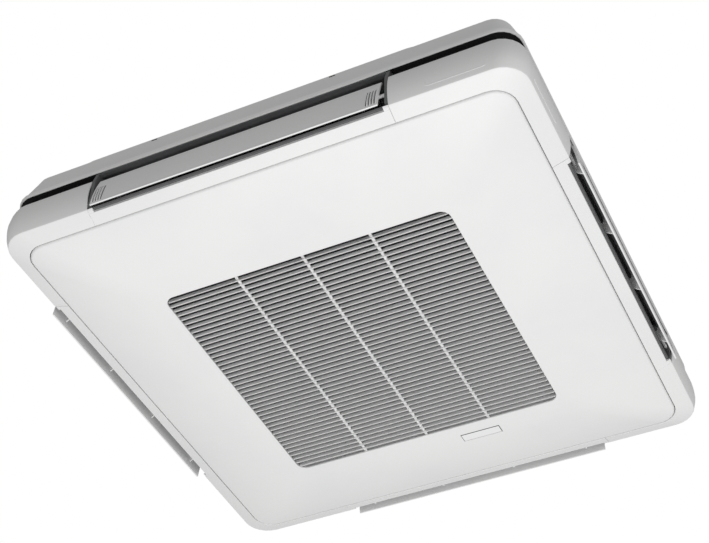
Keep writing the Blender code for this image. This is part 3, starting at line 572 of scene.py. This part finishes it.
class Palette:
    """The unit's finishes, each made once."""

    def __init__(self) -> None:
        """Makes the shared effects and every finish."""
        effects = Effects()
        white = MouldedPlastic("white_moulding", (0.83, 0.83, 0.825), (0.78, 0.785, 0.785))
        # The grille's white is lighter than the casing's: painted light that lifts its slat faces
        # out of the shade between the slats.
        grille = MouldedPlastic(
            "grille_moulding",
            colour=(0.92, 0.92, 0.915),
            marked=(0.86, 0.865, 0.865),
            roughness=0.46,
            mark_amount=0.8,
            soaked_light=1.0,
        )
        duct = MouldedPlastic(
            "duct_moulding",
            colour=(0.112, 0.113, 0.117),
            marked=(0.142, 0.143, 0.147),
            roughness=0.55,
            roughness_spread=0.15,
            grain_scale=700.0,
            grain_depth=0.00005,
        )
        plate = MouldedPlastic(
            "bare_plate",
            colour=(0.86, 0.86, 0.86),
            marked=(0.82, 0.82, 0.82),
            roughness=0.26,
            roughness_spread=0.05,
            grain_scale=1500.0,
            grain_depth=0.00001,
            mark_amount=0.3,
        )
        # Black foam for the corner liners, also used for small black pieces that paint shade in
        # gaps, grooves and slots.
        foam = CellFoam(
            "black_sealing_foam", (0.010, 0.010, 0.011), (0.022, 0.022, 0.024), 900.0, 0.0005
        )
        pan = CellFoam("moulded_bead_foam", (0.72, 0.73, 0.74), (0.80, 0.81, 0.82), 260.0, 0.0004)
        screw = ZincSheet(
            "zinc_screw", (0.50, 0.50, 0.51), (0.62, 0.62, 0.63), roughness=0.28, scale=900.0
        )
        self.white = white.make(effects)
        self.grille = grille.make(effects)
        self.duct = duct.make(effects)
        self.plate = plate.make(effects)
        self.foam = foam.make(effects)
        self.pan = pan.make(effects)
        self.steel = ZincSheet().make(effects)
        self.screw = screw.make(effects)
        self.fins = PitchedMetal().make(effects)
        self.net = WovenNet().make(effects)


# Mesh helpers


def finish_mesh(bm: Shape, name: str, material: bpy.types.Material) -> bpy.types.Object:
    """Turns a bmesh into an object at the origin, smooth but for its sharp edges.

    Args:
        bm: The shape, which is freed.
        name: Name of the piece.
        material: Its finish.

    Returns:
        The piece.
    """
    limit = math.radians(SHARP_ANGLE)
    for face in bm.faces:
        face.smooth = True
    for edge in bm.edges:
        edge.smooth = edge.calc_face_angle(math.pi) < limit
    mesh = bpy.data.meshes.new(name)
    bm.to_mesh(mesh)
    bm.free()
    mesh.materials.append(material)
    piece = bpy.data.objects.new(name, mesh)
    bpy.context.scene.collection.objects.link(piece)
    even = piece.modifiers.new("even_shading", "WEIGHTED_NORMAL")
    even.keep_sharp = True
    return piece


def seat(piece: bpy.types.Object, body: str, slot: Slot, *nodes: str) -> None:
    """Rides a piece on a body, hides the nodes it stands for, and reports it.

    Args:
        piece: The finished piece.
        body: Name of the frame's body.
        slot: Slot of the record that its finish comes from; not used.
        *nodes: Nodes of the frame that it replaces.
    """
    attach(piece, body)
    if nodes:
        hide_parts(*nodes)
    LOG.info("%s rides on %s, %d faces", piece.name, body, len(piece.data.polygons))


def soften(bm: Shape, edges: list, radius: float, segments: int) -> None:
    """Bevels edges with a round profile.

    Args:
        bm: The shape.
        edges: The edges that are rounded.
        radius: Radius of the rounding.
        segments: Its steps.
    """
    bmesh.ops.bevel(
        bm,
        geom=edges,
        offset=radius,
        offset_type="OFFSET",
        segments=segments,
        profile=0.5,
        affect="EDGES",
        clamp_overlap=True,
        material=-1,
    )


def folded_edges(bm: Shape, angle: float) -> list:
    """Edges between two faces that meet at more than an angle in degrees."""
    limit = math.radians(angle)
    return [e for e in bm.edges if e.calc_face_angle(0.0) > limit]


def rounded_box(size: Point, radius: float, segments: int) -> Shape:
    """Makes a box about the origin with all its edges rounded.

    Args:
        size: Whole size along X, Y and Z.
        radius: Radius of the edges.
        segments: Steps of each rounding.

    Returns:
        The box.
    """
    bm = bmesh.new()
    bmesh.ops.create_cube(bm, size=1.0)
    bmesh.ops.scale(bm, vec=size, verts=bm.verts)
    soften(bm, list(bm.edges), radius, segments)
    return bm


def merged_into(target: Shape, part: Shape, places: Iterable[Matrix]) -> None:
    """Copies a small shape into another at each place.

    Args:
        target: The shape that takes the copies.
        part: The small shape, which is freed.
        places: Where each copy goes.
    """
    mesh = bpy.data.meshes.new("part")
    part.to_mesh(mesh)
    part.free()
    for place in places:
        before = set(target.verts)
        target.from_mesh(mesh)
        copied = [v for v in target.verts if v not in before]
        bmesh.ops.transform(target, matrix=place, verts=copied)
    bpy.data.meshes.remove(mesh)


def place_on(point: Point, outward: Point) -> Matrix:
    """Matrix that puts something modelled towards +Z on a point with +Z along outward."""
    turn = Vector(outward).to_track_quat("Z", "Y").to_matrix().to_4x4()
    return Matrix.Translation(point) @ turn


@dataclass(frozen=True)
class PanScrew:
    """Pan head screw with a round recess. Its shares are of its radius, or of its height."""

    radius: float
    sides: int = 16
    height_share: float = 0.55
    crown_share: float = 0.86
    rounding_share: float = 0.18
    land_share: float = 0.32
    wall_share: float = 0.10
    recess_share: float = 0.45

    def head(self) -> Shape:
        """Makes the head, its underside at the origin and its top towards +Z.

        Returns:
            The head.
        """
        height = self.radius * self.height_share
        bm = bmesh.new()
        bmesh.ops.create_cone(
            bm,
            cap_ends=True,
            segments=self.sides,
            radius1=self.radius,
            radius2=self.radius * self.crown_share,
            depth=height,
        )
        bmesh.ops.translate(bm, vec=(0, 0, height / 2), verts=bm.verts)
        rim = [e for e in bm.edges if all(v.co.z > height / 2 for v in e.verts)]
        soften(bm, rim, self.radius * self.rounding_share, 2)
        top = max(bm.faces, key=lambda f: (round(f.calc_center_median().z, 7), f.calc_area()))
        bmesh.ops.inset_region(bm, faces=[top], thickness=self.radius * self.land_share)
        bmesh.ops.inset_individual(bm, faces=[top], thickness=self.radius * self.wall_share)
        bmesh.ops.translate(bm, vec=(0, 0, -height * self.recess_share), verts=list(top.verts))
        return bm


def ridge(
    points: list[Vector], normals: list[Vector], heights: list[float], width: float, sunk: float
) -> Shape:
    """Makes a low closed ridge along a loop of points on a surface.

    Args:
        points: The loop, in order.
        normals: Outward direction of the surface at each point.
        heights: How far it stands out at each point.
        width: Width of its foot.
        sunk: How far its foot goes into the surface.

    Returns:
        The ridge.
    """
    bm = bmesh.new()
    rows = []
    for index, (point, normal, height) in enumerate(zip(points, normals, heights)):
        along = (points[(index + 1) % len(points)] - points[index - 1]).normalized()
        across = along.cross(normal).normalized() * width / 2
        corners = (-across - normal * sunk, -across * 0.5 + normal * height)
        corners += (across * 0.5 + normal * height, across - normal * sunk)
        rows.append([bm.verts.new(point + corner) for corner in corners])
    for index, row in enumerate(rows):
        after = rows[(index + 1) % len(rows)]
        for step in range(len(row)):
            wrap = (step + 1) % len(row)
            bm.faces.new((row[step], row[wrap], after[wrap], after[step]))
    bmesh.ops.recalc_face_normals(bm, faces=bm.faces)
    return bm


class NodeCopies:
    """Makes merged copies of the frame's nodes, with clean faces and softened edges."""

    MERGE_DISTANCE = 1e-5
    FLAT_ANGLE = 0.6
    SEAM_TOLERANCE = 1e-4
    SEAM_STEPS = 3
    EDGE_STEPS = 2

    def __init__(self, nodes: dict[str, bpy.types.Object], bodies: dict[str, str]) -> None:
        """Keeps the frame's nodes.

        Args:
            nodes: The frame's node objects by name.
            bodies: Body of each node by name.
        """
        self.nodes = nodes
        self.bodies = bodies

    def shape(self, node: str, bevel: float = 0.0, seam: float = 0.0) -> Shape:
        """Copies a node's mesh.

        Args:
            node: Name of the node.
            bevel: Radius of its softened edges, or 0 for none.
            seam: Radius of its edge along the panel's seam, or 0 for the same as the rest.

        Returns:
            The copy.
        """
        bm = bmesh.new()
        bm.from_mesh(self.nodes[node].data)
        bmesh.ops.remove_doubles(bm, verts=bm.verts, dist=self.MERGE_DISTANCE)
        bmesh.ops.dissolve_limit(
            bm,
            angle_limit=math.radians(self.FLAT_ANGLE),
            verts=bm.verts,
            edges=bm.edges,
            use_dissolve_boundaries=False,
        )
        if seam:
            folded = folded_edges(bm, SOFTENED_ANGLE)
            rim = [e for e in folded if all(self.at_seam(v) for v in e.verts)]
            soften(bm, rim, seam, self.SEAM_STEPS)
        if bevel:
            soften(bm, folded_edges(bm, SOFTENED_ANGLE), bevel, self.EDGE_STEPS)
        return bm

    def at_seam(self, vert: bmesh.types.BMVert) -> bool:
        """Tells whether a corner is on the edge along the panel's seam."""
        return abs(vert.co.z - SEAM_LEVEL - SEAM_EDGE_RISE) < self.SEAM_TOLERANCE

    def surface(self, node: str) -> BVHTree:
        """Copies a node's faces, to find points on them.

        Args:
            node: Name of the node.

        Returns:
            The tree of its faces.
        """
        bm = self.shape(node)
        tree = BVHTree.FromBMesh(bm)
        bm.free()
        return tree

    def dress(
        self,
        node: str,
        material: bpy.types.Material,
        slot: Slot,
        bevel: float = 0.0,
        suffix: str = "shell",
        seam: float = 0.0,
    ) -> None:
        """Replaces a node by its dressed copy.

        Args:
            node: Name of the node.
            material: Finish of the copy.
            slot: Slot that the finish belongs to.
            bevel: Radius of its softened edges.
            suffix: Last word of the piece's name.
            seam: Radius of its edge along the panel's seam.
        """
        piece = finish_mesh(self.shape(node, bevel, seam), f"{node}_{suffix}", material)
        seat(piece, self.bodies[node], slot, node)


# Sub-assemblies


@dataclass
class SuctionPanel:
    """Domed panel with its louvred grille, its filter and a small bare plate."""

    copies: NodeCopies
    palette: Palette
    body: str = "panel"
    plate_size: Point = (0.0745, 0.0190, 0.0016)
    plate_place: tuple[float, float] = (0.0960, 0.2995)
    plate_radius: float = 0.0004
    # Black ring round the plate: painted shadow of the gap round it.
    shadow_ring_size: Point = (0.0765, 0.0210, 0.0010)
    shadow_ring_radius: float = 0.0003
    dome_depth: float = 0.027
    dome_start: float = 0.2625
    dome_width: float = 0.177

    def slope_at(self, reach: float) -> tuple[float, float]:
        """Works out the dome's height and slope at a distance from the middle.

        Args:
            reach: Distance from the middle of the panel.

        Returns:
            The height in the frame and the rise per metre outwards.
        """
        share = (reach - self.dome_start) / self.dome_width
        height = SEAM_LEVEL - self.dome_depth * (1 - share * share)
        return height, 2 * self.dome_depth * share / self.dome_width

    def badge_plate(self) -> None:
        """Adds the bare plate flush on the dome, in a black ring that paints the shadow of the gap
        round it.
        """
        x, y = self.plate_place
        height, slope = self.slope_at(y)
        tilt = Matrix.Translation((x, y, height)) @ Matrix.Rotation(math.atan(slope), 4, "X")
        # The black ring stands for the shadow in the gap round the plate.
        rim = rounded_box(self.shadow_ring_size, self.shadow_ring_radius, 1)
        bmesh.ops.transform(rim, matrix=tilt, verts=rim.verts)
        seat(finish_mesh(rim, "badge_plate_seat", self.palette.foam), self.body, Slot.FOAM)
        box = rounded_box(self.plate_size, self.plate_radius, 2)
        bmesh.ops.transform(box, matrix=tilt, verts=box.verts)
        seat(finish_mesh(box, "badge_plate", self.palette.plate), self.body, Slot.WHITE)

    def build(self) -> None:
        """Dresses the panel's nodes and adds its small parts."""
        self.copies.dress("suction_panel", self.palette.white, Slot.WHITE)
        self.copies.dress("suction_grille", self.palette.grille, Slot.GRILLE, suffix="louvres")
        self.copies.dress("air_filter", self.palette.net, Slot.FOAM, suffix="net")
        self.badge_plate()


@dataclass
class AirOutlet:
    """One side's outlet: duct, rail, flap and the ribs near the flap's ends, with black strips that
    paint the shade of grooves.

    The blade is the flap's outer face. Points low and high on it are distances from the middle of
    the unit and heights over the seam.
    """

    copies: NodeCopies
    palette: Palette
    side: Side
    edge_radius: float = 0.0004
    flap_half: float = 0.2595
    blade_low: tuple[float, float] = (0.482, 0.007)
    blade_high: tuple[float, float] = (0.465, 0.079)
    blade_bulge: float = 0.0025
    rib_count: int = 4
    rib_pitch: float = 0.0049
    rib_start: float = 0.0030
    rib_span: tuple[float, float] = (0.07, 0.64)
    rib_width: float = 0.0023
    rib_height: float = 0.0017
    rib_edge: float = 0.0004
    # Black strips between the ribs: painted shade of grooves.
    shade_line_width: float = 0.0014
    shade_line_height: float = 0.0002
    shade_line_edge: float = 0.0001
    strip_cuts: int = 9
    strip_sunk: float = 0.0006
    strip_angle: float = 60.0
    tip_share: float = 0.12
    tip_height: float = 0.2

    def blade_point(self, share: float, lift: float) -> Vector:
        """Finds a point on the blade, on the front side.

        Args:
            share: How far up the blade, from 0 to 1.
            lift: Distance in front of the face.

        Returns:
            The point, with X left at 0.
        """
        low, high = Vector(self.blade_low), Vector(self.blade_high)
        along = high - low
        outward = Vector((along.y, -along.x)).normalized()
        swell = 4 * self.blade_bulge * share * (1 - share)
        reach = low + along * share + outward * (swell + lift)
        return Vector((0.0, -reach.x, SEAM_LEVEL + reach.y))

    def strip(self, width: float, height: float, radius: float) -> Shape:
        """Makes an upright strip that follows the blade and is low at its tips.

        Args:
            width: Its width along the blade.
            height: How far its middle stands out.
            radius: Radius of its edges.

        Returns:
            The strip in the middle of the blade.
        """
        strip = bmesh.new()
        bmesh.ops.create_cube(strip, size=1.0)
        upright = [e for e in strip.edges if abs(e.verts[0].co.z - e.verts[1].co.z) > 0.5]
        bmesh.ops.subdivide_edges(strip, edges=upright, cuts=self.strip_cuts)
        first, last = self.rib_span
        for vert in strip.verts:
            share = first + (last - first) * (vert.co.z + 0.5)
            tip = min(1.0, (0.5 - abs(vert.co.z)) / self.tip_share)
            lift = height * (self.tip_height + (1 - self.tip_height) * tip)
            point = self.blade_point(share, lift if vert.co.y < 0 else -self.strip_sunk)
            vert.co = Vector((vert.co.x * width, point.y, point.z))
        soften(strip, folded_edges(strip, self.strip_angle), radius, 2)
        return strip

    def end_strips(self, strip: Shape, start: float) -> Shape:
        """Repeats a strip near both ends of the flap.

        Args:
            strip: The strip, which is freed.
            start: Distance of the outermost one from the flap's end.

        Returns:
            All of them, on this side of the unit.
        """
        places = []
        for sign in (-1, 1):
            for index in range(self.rib_count):
                x = self.side.shift + sign * (self.flap_half - start - self.rib_pitch * index)
                places.append(self.side.turn @ Matrix.Translation((x, 0, 0)))
        bm = bmesh.new()
        merged_into(bm, strip, places)
        return bm

    def ribs(self) -> None:
        """Adds the short upright ribs at both the flap's ends, with a black strip after each that
        paints the shade of a groove.
        """
        word = self.side.word
        rib = self.strip(self.rib_width, self.rib_height, self.rib_edge)
        ribs = self.end_strips(rib, self.rib_start)
        seat(finish_mesh(ribs, f"flap_ribs_{word}", self.palette.white), f"flap_{word}", Slot.WHITE)
        # Black strips standing for grooves: painted shade.
        shade_line = self.strip(self.shade_line_width, self.shade_line_height, self.shade_line_edge)
        shade_lines = self.end_strips(shade_line, self.rib_start + self.rib_pitch / 2)
        piece = finish_mesh(shade_lines, f"flap_grooves_{word}", self.palette.foam)
        seat(piece, f"flap_{word}", Slot.FOAM)

    def build(self) -> None:
        """Dresses this side's nodes and adds the ribs."""
        dress, white, radius = self.copies.dress, self.palette.white, self.edge_radius
        word = self.side.word
        dress(f"outlet_duct_{word}", self.palette.duct, Slot.DUCT, radius)
        dress(f"outlet_rail_{word}", white, Slot.WHITE, radius, seam=SEAM_EDGE_RADIUS)
        dress(f"air_flap_{word}", white, Slot.WHITE, radius, "blade")
        self.ribs()


@dataclass
class Housing:
    """Top casing, corner covers and liners, steel top and hanging brackets."""

    copies: NodeCopies
    palette: Palette
    body: str = "unit"
    corners: tuple[str, ...] = ("front_left", "front_right", "back_left", "back_right")
    cover_edge: float = 0.0007
    bracket_edge: float = 0.0006
    hanger_x: float = 0.380
    hanger_y: float = 0.340
    hanger_screw_aside: float = 0.031
    plate_half: float = 0.4354
    screw_margin: float = 0.012
    screw_places: tuple[float, ...] = (-0.30, -0.10, 0.10, 0.30)
    screw_radius: float = 0.0019
    screw_sunk: float = 0.0001
    lip_level: float = -0.060
    lip_radius: float = 0.0020
    lip_steps: int = 3
    under_limit: float = -0.9
    outer_limit: float = 0.1
    upright_limit: float = 0.5
    casing_edge: float = 0.0003
    clip_places: tuple[float, ...] = (-0.1735, 0.1625)
    clip_size: Point = (0.0115, 0.0060, 0.0034)
    clip_radius: float = 0.0004
    clip_level: float = -0.0110
    clip_proud: float = 0.0003
    knock_out: tuple[float, float, float, float] = (0.3165, 0.4145, 0.0230, 0.0600)
    knock_out_height: float = 0.0004
    knock_out_width: float = 0.0016
    knock_out_sunk: float = 0.0006
    knock_out_fade: float = 1.5
    knock_out_steps: int = 12

    def plate_screws(self) -> None:
        """Adds low screws round the steel top and beside each hanging bracket's window."""
        edge = self.screw_margin - self.plate_half
        places = []
        for side in Side:
            for x in self.screw_places:
                places.append(side.turn @ place_on((x, edge, -self.screw_sunk), UP))
        for x in (-self.hanger_x, self.hanger_x):
            for y in (-self.hanger_y, self.hanger_y):
                for aside in (-self.hanger_screw_aside, self.hanger_screw_aside):
                    places.append(place_on((x + aside, y, -self.screw_sunk), UP))
        bm = bmesh.new()
        merged_into(bm, PanScrew(self.screw_radius).head(), places)
        seat(finish_mesh(bm, "top_plate_screws", self.palette.screw), self.body, Slot.STEEL)

    def on_lip(self, edge: bmesh.types.BMEdge) -> bool:
        """Tells whether an edge is the lower outer one of the casing.

        Args:
            edge: An edge of the casing.

        Returns:
            Whether it joins the lip's underside to its outer side.
        """
        middle = (edge.verts[0].co + edge.verts[1].co) / 2
        outward = Vector((middle.x, middle.y, 0.0))
        faces = [face.normal for face in edge.link_faces]
        under = any(normal.z < self.under_limit for normal in faces)
        sides = [normal for normal in faces if abs(normal.z) < self.upright_limit]
        outer = any(normal.dot(outward) > self.outer_limit for normal in sides)
        return middle.z < self.lip_level and under and outer

    def casing(self) -> None:
        """Replaces the casing by its copy, with a well rounded lower edge."""
        bm = self.copies.shape("top_casing")
        soften(bm, [e for e in bm.edges if self.on_lip(e)], self.lip_radius, self.lip_steps)
        soften(bm, folded_edges(bm, SOFTENED_ANGLE), self.casing_edge, 2)
        piece = finish_mesh(bm, "top_casing_shell", self.palette.white)
        seat(piece, self.body, Slot.WHITE, "top_casing")

    def clip_slot_shades(self) -> None:
        """Adds small black boxes near the top of the casing, two on each side, that paint the shade
        inside its clip slots.
        """
        tree = self.copies.surface("top_casing")
        inward = Vector((0, self.clip_size[1] / 2 - self.clip_proud, 0))
        places = []
        for side in Side:
            for x in self.clip_places:
                start = Vector((x + side.shift, -OUTSIDE, self.clip_level))
                point = tree.ray_cast(start, Vector((0, 1, 0)))[0]
                places.append(side.turn @ Matrix.Translation(point + inward))
        bm = bmesh.new()
        # Black boxes: painted shade inside the clip slots.
        merged_into(bm, rounded_box(self.clip_size, self.clip_radius, 1), places)
        seat(finish_mesh(bm, "casing_clip_slots", self.palette.foam), self.body, Slot.FOAM)

    def knock_out_loop(self) -> list[Point]:
        """Goes round a knock-out.

        Returns:
            Distance along the face, level and ridge height of each point. The ridge is highest at
            the bottom, and sinks into the face towards the top.
        """
        left, right, low, high = self.knock_out
        ends = [(left, low), (right, low), (right, high), (left, high)]
        loop = []
        for (x0, z0), (x1, z1) in zip(ends, ends[1:] + ends[:1]):
            for step in range(self.knock_out_steps):
                share = (step + 0.5) / self.knock_out_steps
                rise = z0 + (z1 - z0) * share
                left_over = 1 - self.knock_out_fade * (rise - low) / (high - low)
                height = self.knock_out_height * left_over
                loop.append((x0 + (x1 - x0) * share, SEAM_LEVEL + rise, height))
        return loop

    def knock_outs(self) -> None:
        """Adds the outlines of the two knock-outs in the front right cover, one on each face."""
        tree = self.copies.surface("corner_cover_front_right")
        loop = self.knock_out_loop()
        heights = [height for _, _, height in loop]
        bm = bmesh.new()
        for across in (False, True):
            points, normals = [], []
            for x, z, _ in loop:
                start, towards = Vector((x, -OUTSIDE, z)), Vector((0, 1, 0))
                if across:
                    start, towards = Vector((OUTSIDE, -x, z)), Vector((-1, 0, 0))
                point, normal, _, _ = tree.ray_cast(start, towards)
                points.append(point)
                normals.append(normal if normal.dot(towards) < 0 else -normal)
            outline = ridge(points, normals, heights, self.knock_out_width, self.knock_out_sunk)
            merged_into(bm, outline, [Matrix()])
        seat(finish_mesh(bm, "cover_knock_outs", self.palette.white), self.body, Slot.WHITE)

    def build(self) -> None:
        """Dresses the housing's nodes and adds its small parts."""
        dress, look = self.copies.dress, self.palette
        seam = SEAM_EDGE_RADIUS
        self.casing()
        dress("top_plate", look.steel, Slot.STEEL, suffix="sheet")
        for corner in self.corners:
            dress(f"corner_cover_{corner}", look.white, Slot.WHITE, self.cover_edge, seam=seam)
            # The liners' black foam sits under the casing's ledge: real sealing foam that also
            # paints the band below the casing as shade.
            dress(f"corner_liner_{corner}", look.foam, Slot.FOAM, suffix="strip")
            name = f"hanger_bracket_{corner}"
            dress(name, look.steel, Slot.STEEL, self.bracket_edge, "plate")
        self.plate_screws()
        self.clip_slot_shades()
        self.knock_outs()


@dataclass
class Machinery:
    """What hangs inside: frame, hinge arms, pan, coil, bell mouth, fan, motor and control box.

    Rises are heights over the seam.
    """

    copies: NodeCopies
    palette: Palette
    body: str = "unit"
    screw_radius: float = 0.0042
    box_rise: float = 0.0063
    box_screw_xs: tuple[float, ...] = (-0.118, 0.0, 0.118)
    box_screw_ys: tuple[float, ...] = (0.308, 0.367)
    bell_rise: float = 0.0243
    bell_screw_reach: float = 0.22

    def screws(self) -> None:
        """Adds the screws that hold the control box and the bell mouth."""
        level = SEAM_LEVEL + self.box_rise
        spots = [(x, y, level) for x in self.box_screw_xs for y in self.box_screw_ys]
        level = SEAM_LEVEL + self.bell_rise
        reach = (-self.bell_screw_reach, self.bell_screw_reach)
        spots += [(x, y, level) for x in reach for y in reach]
        bm = bmesh.new()
        merged_into(bm, PanScrew(self.screw_radius).head(), [place_on(p, DOWN) for p in spots])
        seat(finish_mesh(bm, "inner_screws", self.palette.screw), self.body, Slot.STEEL)

    def build(self) -> None:
        """Dresses the inner nodes and adds their screws."""
        look = self.palette
        rows = [
            ("under_frame", look.grille, Slot.GRILLE, 0.0004, "shell"),
            ("panel_hinge_arm_left", look.steel, Slot.STEEL, 0.0, "strap"),
            ("panel_hinge_arm_right", look.steel, Slot.STEEL, 0.0, "strap"),
            ("drain_pan", look.pan, Slot.PAN, 0.0015, "tray"),
            ("heat_exchanger", look.fins, Slot.FINS, 0.0, "coil"),
            ("bell_mouth", look.duct, Slot.DUCT, 0.0, "ring"),
            ("fan_wheel", look.duct, Slot.DUCT, 0.0, "rotor"),
            ("fan_motor", look.steel, Slot.STEEL, 0.0008, "case"),
            ("control_box", look.steel, Slot.STEEL, 0.0008, "lid"),
        ]
        for node, material, slot, bevel, suffix in rows:
            self.copies.dress(node, material, slot, bevel, suffix)
        self.screws()


# Stage


@dataclass(frozen=True)
class SoftLight:
    """A large soft white lamp."""

    name: str
    place: Point
    aim: Point
    size: float
    power: float

    def make(self) -> None:
        """Adds the lamp."""
        lamp = bpy.data.lights.new(self.name, "AREA")
        lamp.shape = "SQUARE"
        lamp.size = self.size
        lamp.energy = self.power
        holder = bpy.data.objects.new(self.name, lamp)
        holder.location = self.place
        direction = Vector(self.aim) - Vector(self.place)
        holder.rotation_euler = direction.to_track_quat("-Z", "Y").to_euler()
        bpy.context.scene.collection.objects.link(holder)


@dataclass
class Studio:
    """Pale surroundings, soft lamps and the camera at the photograph's angle."""

    lens: float = 81.6
    sensor: float = 36.0
    clipping: tuple[float, float] = (0.05, 60.0)
    camera_place: Point = (0.9200, -1.9316, -2.0618)
    camera_right: Point = (0.904568, 0.425983, 0.017184)
    camera_down: Point = (-0.284202, 0.632561, -0.720483)
    camera_ahead: Point = (-0.317783, 0.646842, 0.693259)
    floor_level: float = -4.8
    floor_half: float = 12.0
    floor_shade: float = 0.86
    floor_roughness: float = 0.9
    sky: float = 1.0
    fill: float = 0.41
    lamps: list[SoftLight] = field(
        default_factory=lambda: [
            SoftLight("lamp_below", (0.20, -0.65, -3.2), (0.0, 0.0, -0.2), 2.2, 61.5),
            SoftLight("lamp_right", (3.8, -0.5, -1.5), (0.0, 0.0, -0.1), 2.5, 26.0),
            SoftLight("lamp_above", (-2.2, 2.8, 2.4), (0.0, 0.0, -0.1), 2.6, 70.0),
        ]
    )

    def camera(self) -> None:
        """Adds the camera."""
        data = bpy.data.cameras.new("camera")
        data.lens = self.lens
        data.sensor_width = self.sensor
        data.clip_start, data.clip_end = self.clipping
        holder = bpy.data.objects.new("camera", data)
        right, down = Vector(self.camera_right), Vector(self.camera_down)
        turn = Matrix((right, -down, -Vector(self.camera_ahead))).transposed().to_4x4()
        holder.matrix_world = Matrix.Translation(self.camera_place) @ turn
        bpy.context.scene.collection.objects.link(holder)
        bpy.context.scene.camera = holder

    def floor(self) -> None:
        """Adds the pale floor."""
        bm = bmesh.new()
        bmesh.ops.create_grid(bm, x_segments=1, y_segments=1, size=self.floor_half)
        bmesh.ops.translate(bm, vec=(0, 0, self.floor_level), verts=bm.verts)
        build = FinishBuilder("pale_floor", self.floor_roughness)
        shade = self.floor_shade
        build.set("Base Color", (shade, shade, shade, 1.0))
        floor = finish_mesh(bm, "floor", build.material)

    def surroundings(self) -> None:
        """Adds the white all round, which the camera sees brighter than it lights the unit."""
        world = bpy.data.worlds.new("surroundings")
        bpy.context.scene.world = world
        world.use_nodes = True
        build = TreeBuilder(world.node_tree)
        build.tree.nodes.clear()
        light, seen = (
            build.node("ShaderNodeBackground", {"Color": (1, 1, 1, 1), "Strength": strength})
            for strength in (self.fill, self.sky)
        )
        path = build.node("ShaderNodeLightPath")
        values = {0: path.outputs["Is Camera Ray"], 1: light.outputs[0], 2: seen.outputs[0]}
        mix = build.node("ShaderNodeMixShader", values)
        build.node("ShaderNodeOutputWorld", {"Surface": mix.outputs[0]})

    def build(self) -> None:
        """Adds everything that isn't part of the unit."""
        self.floor()
        self.surroundings()
        for lamp in self.lamps:
            lamp.make()
        self.camera()
        bpy.context.scene.view_settings.view_transform = "Standard"


def main() -> None:
    """Loads the frame and builds every sub-assembly round it."""
    logging.basicConfig(level=logging.INFO, format="%(message)s")
    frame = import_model()
    groups = frame["record"]["behaviour"]["bodies"]
    bodies = {node: body for body, members in groups.items() for node in members}
    copies = NodeCopies(frame["nodes"], bodies)
    palette = Palette()
    SuctionPanel(copies, palette).build()
    for side in Side:
        AirOutlet(copies, palette, side).build()
    Housing(copies, palette).build()
    Machinery(copies, palette).build()
    Studio().build()


if __name__ == "__main__":
    main()
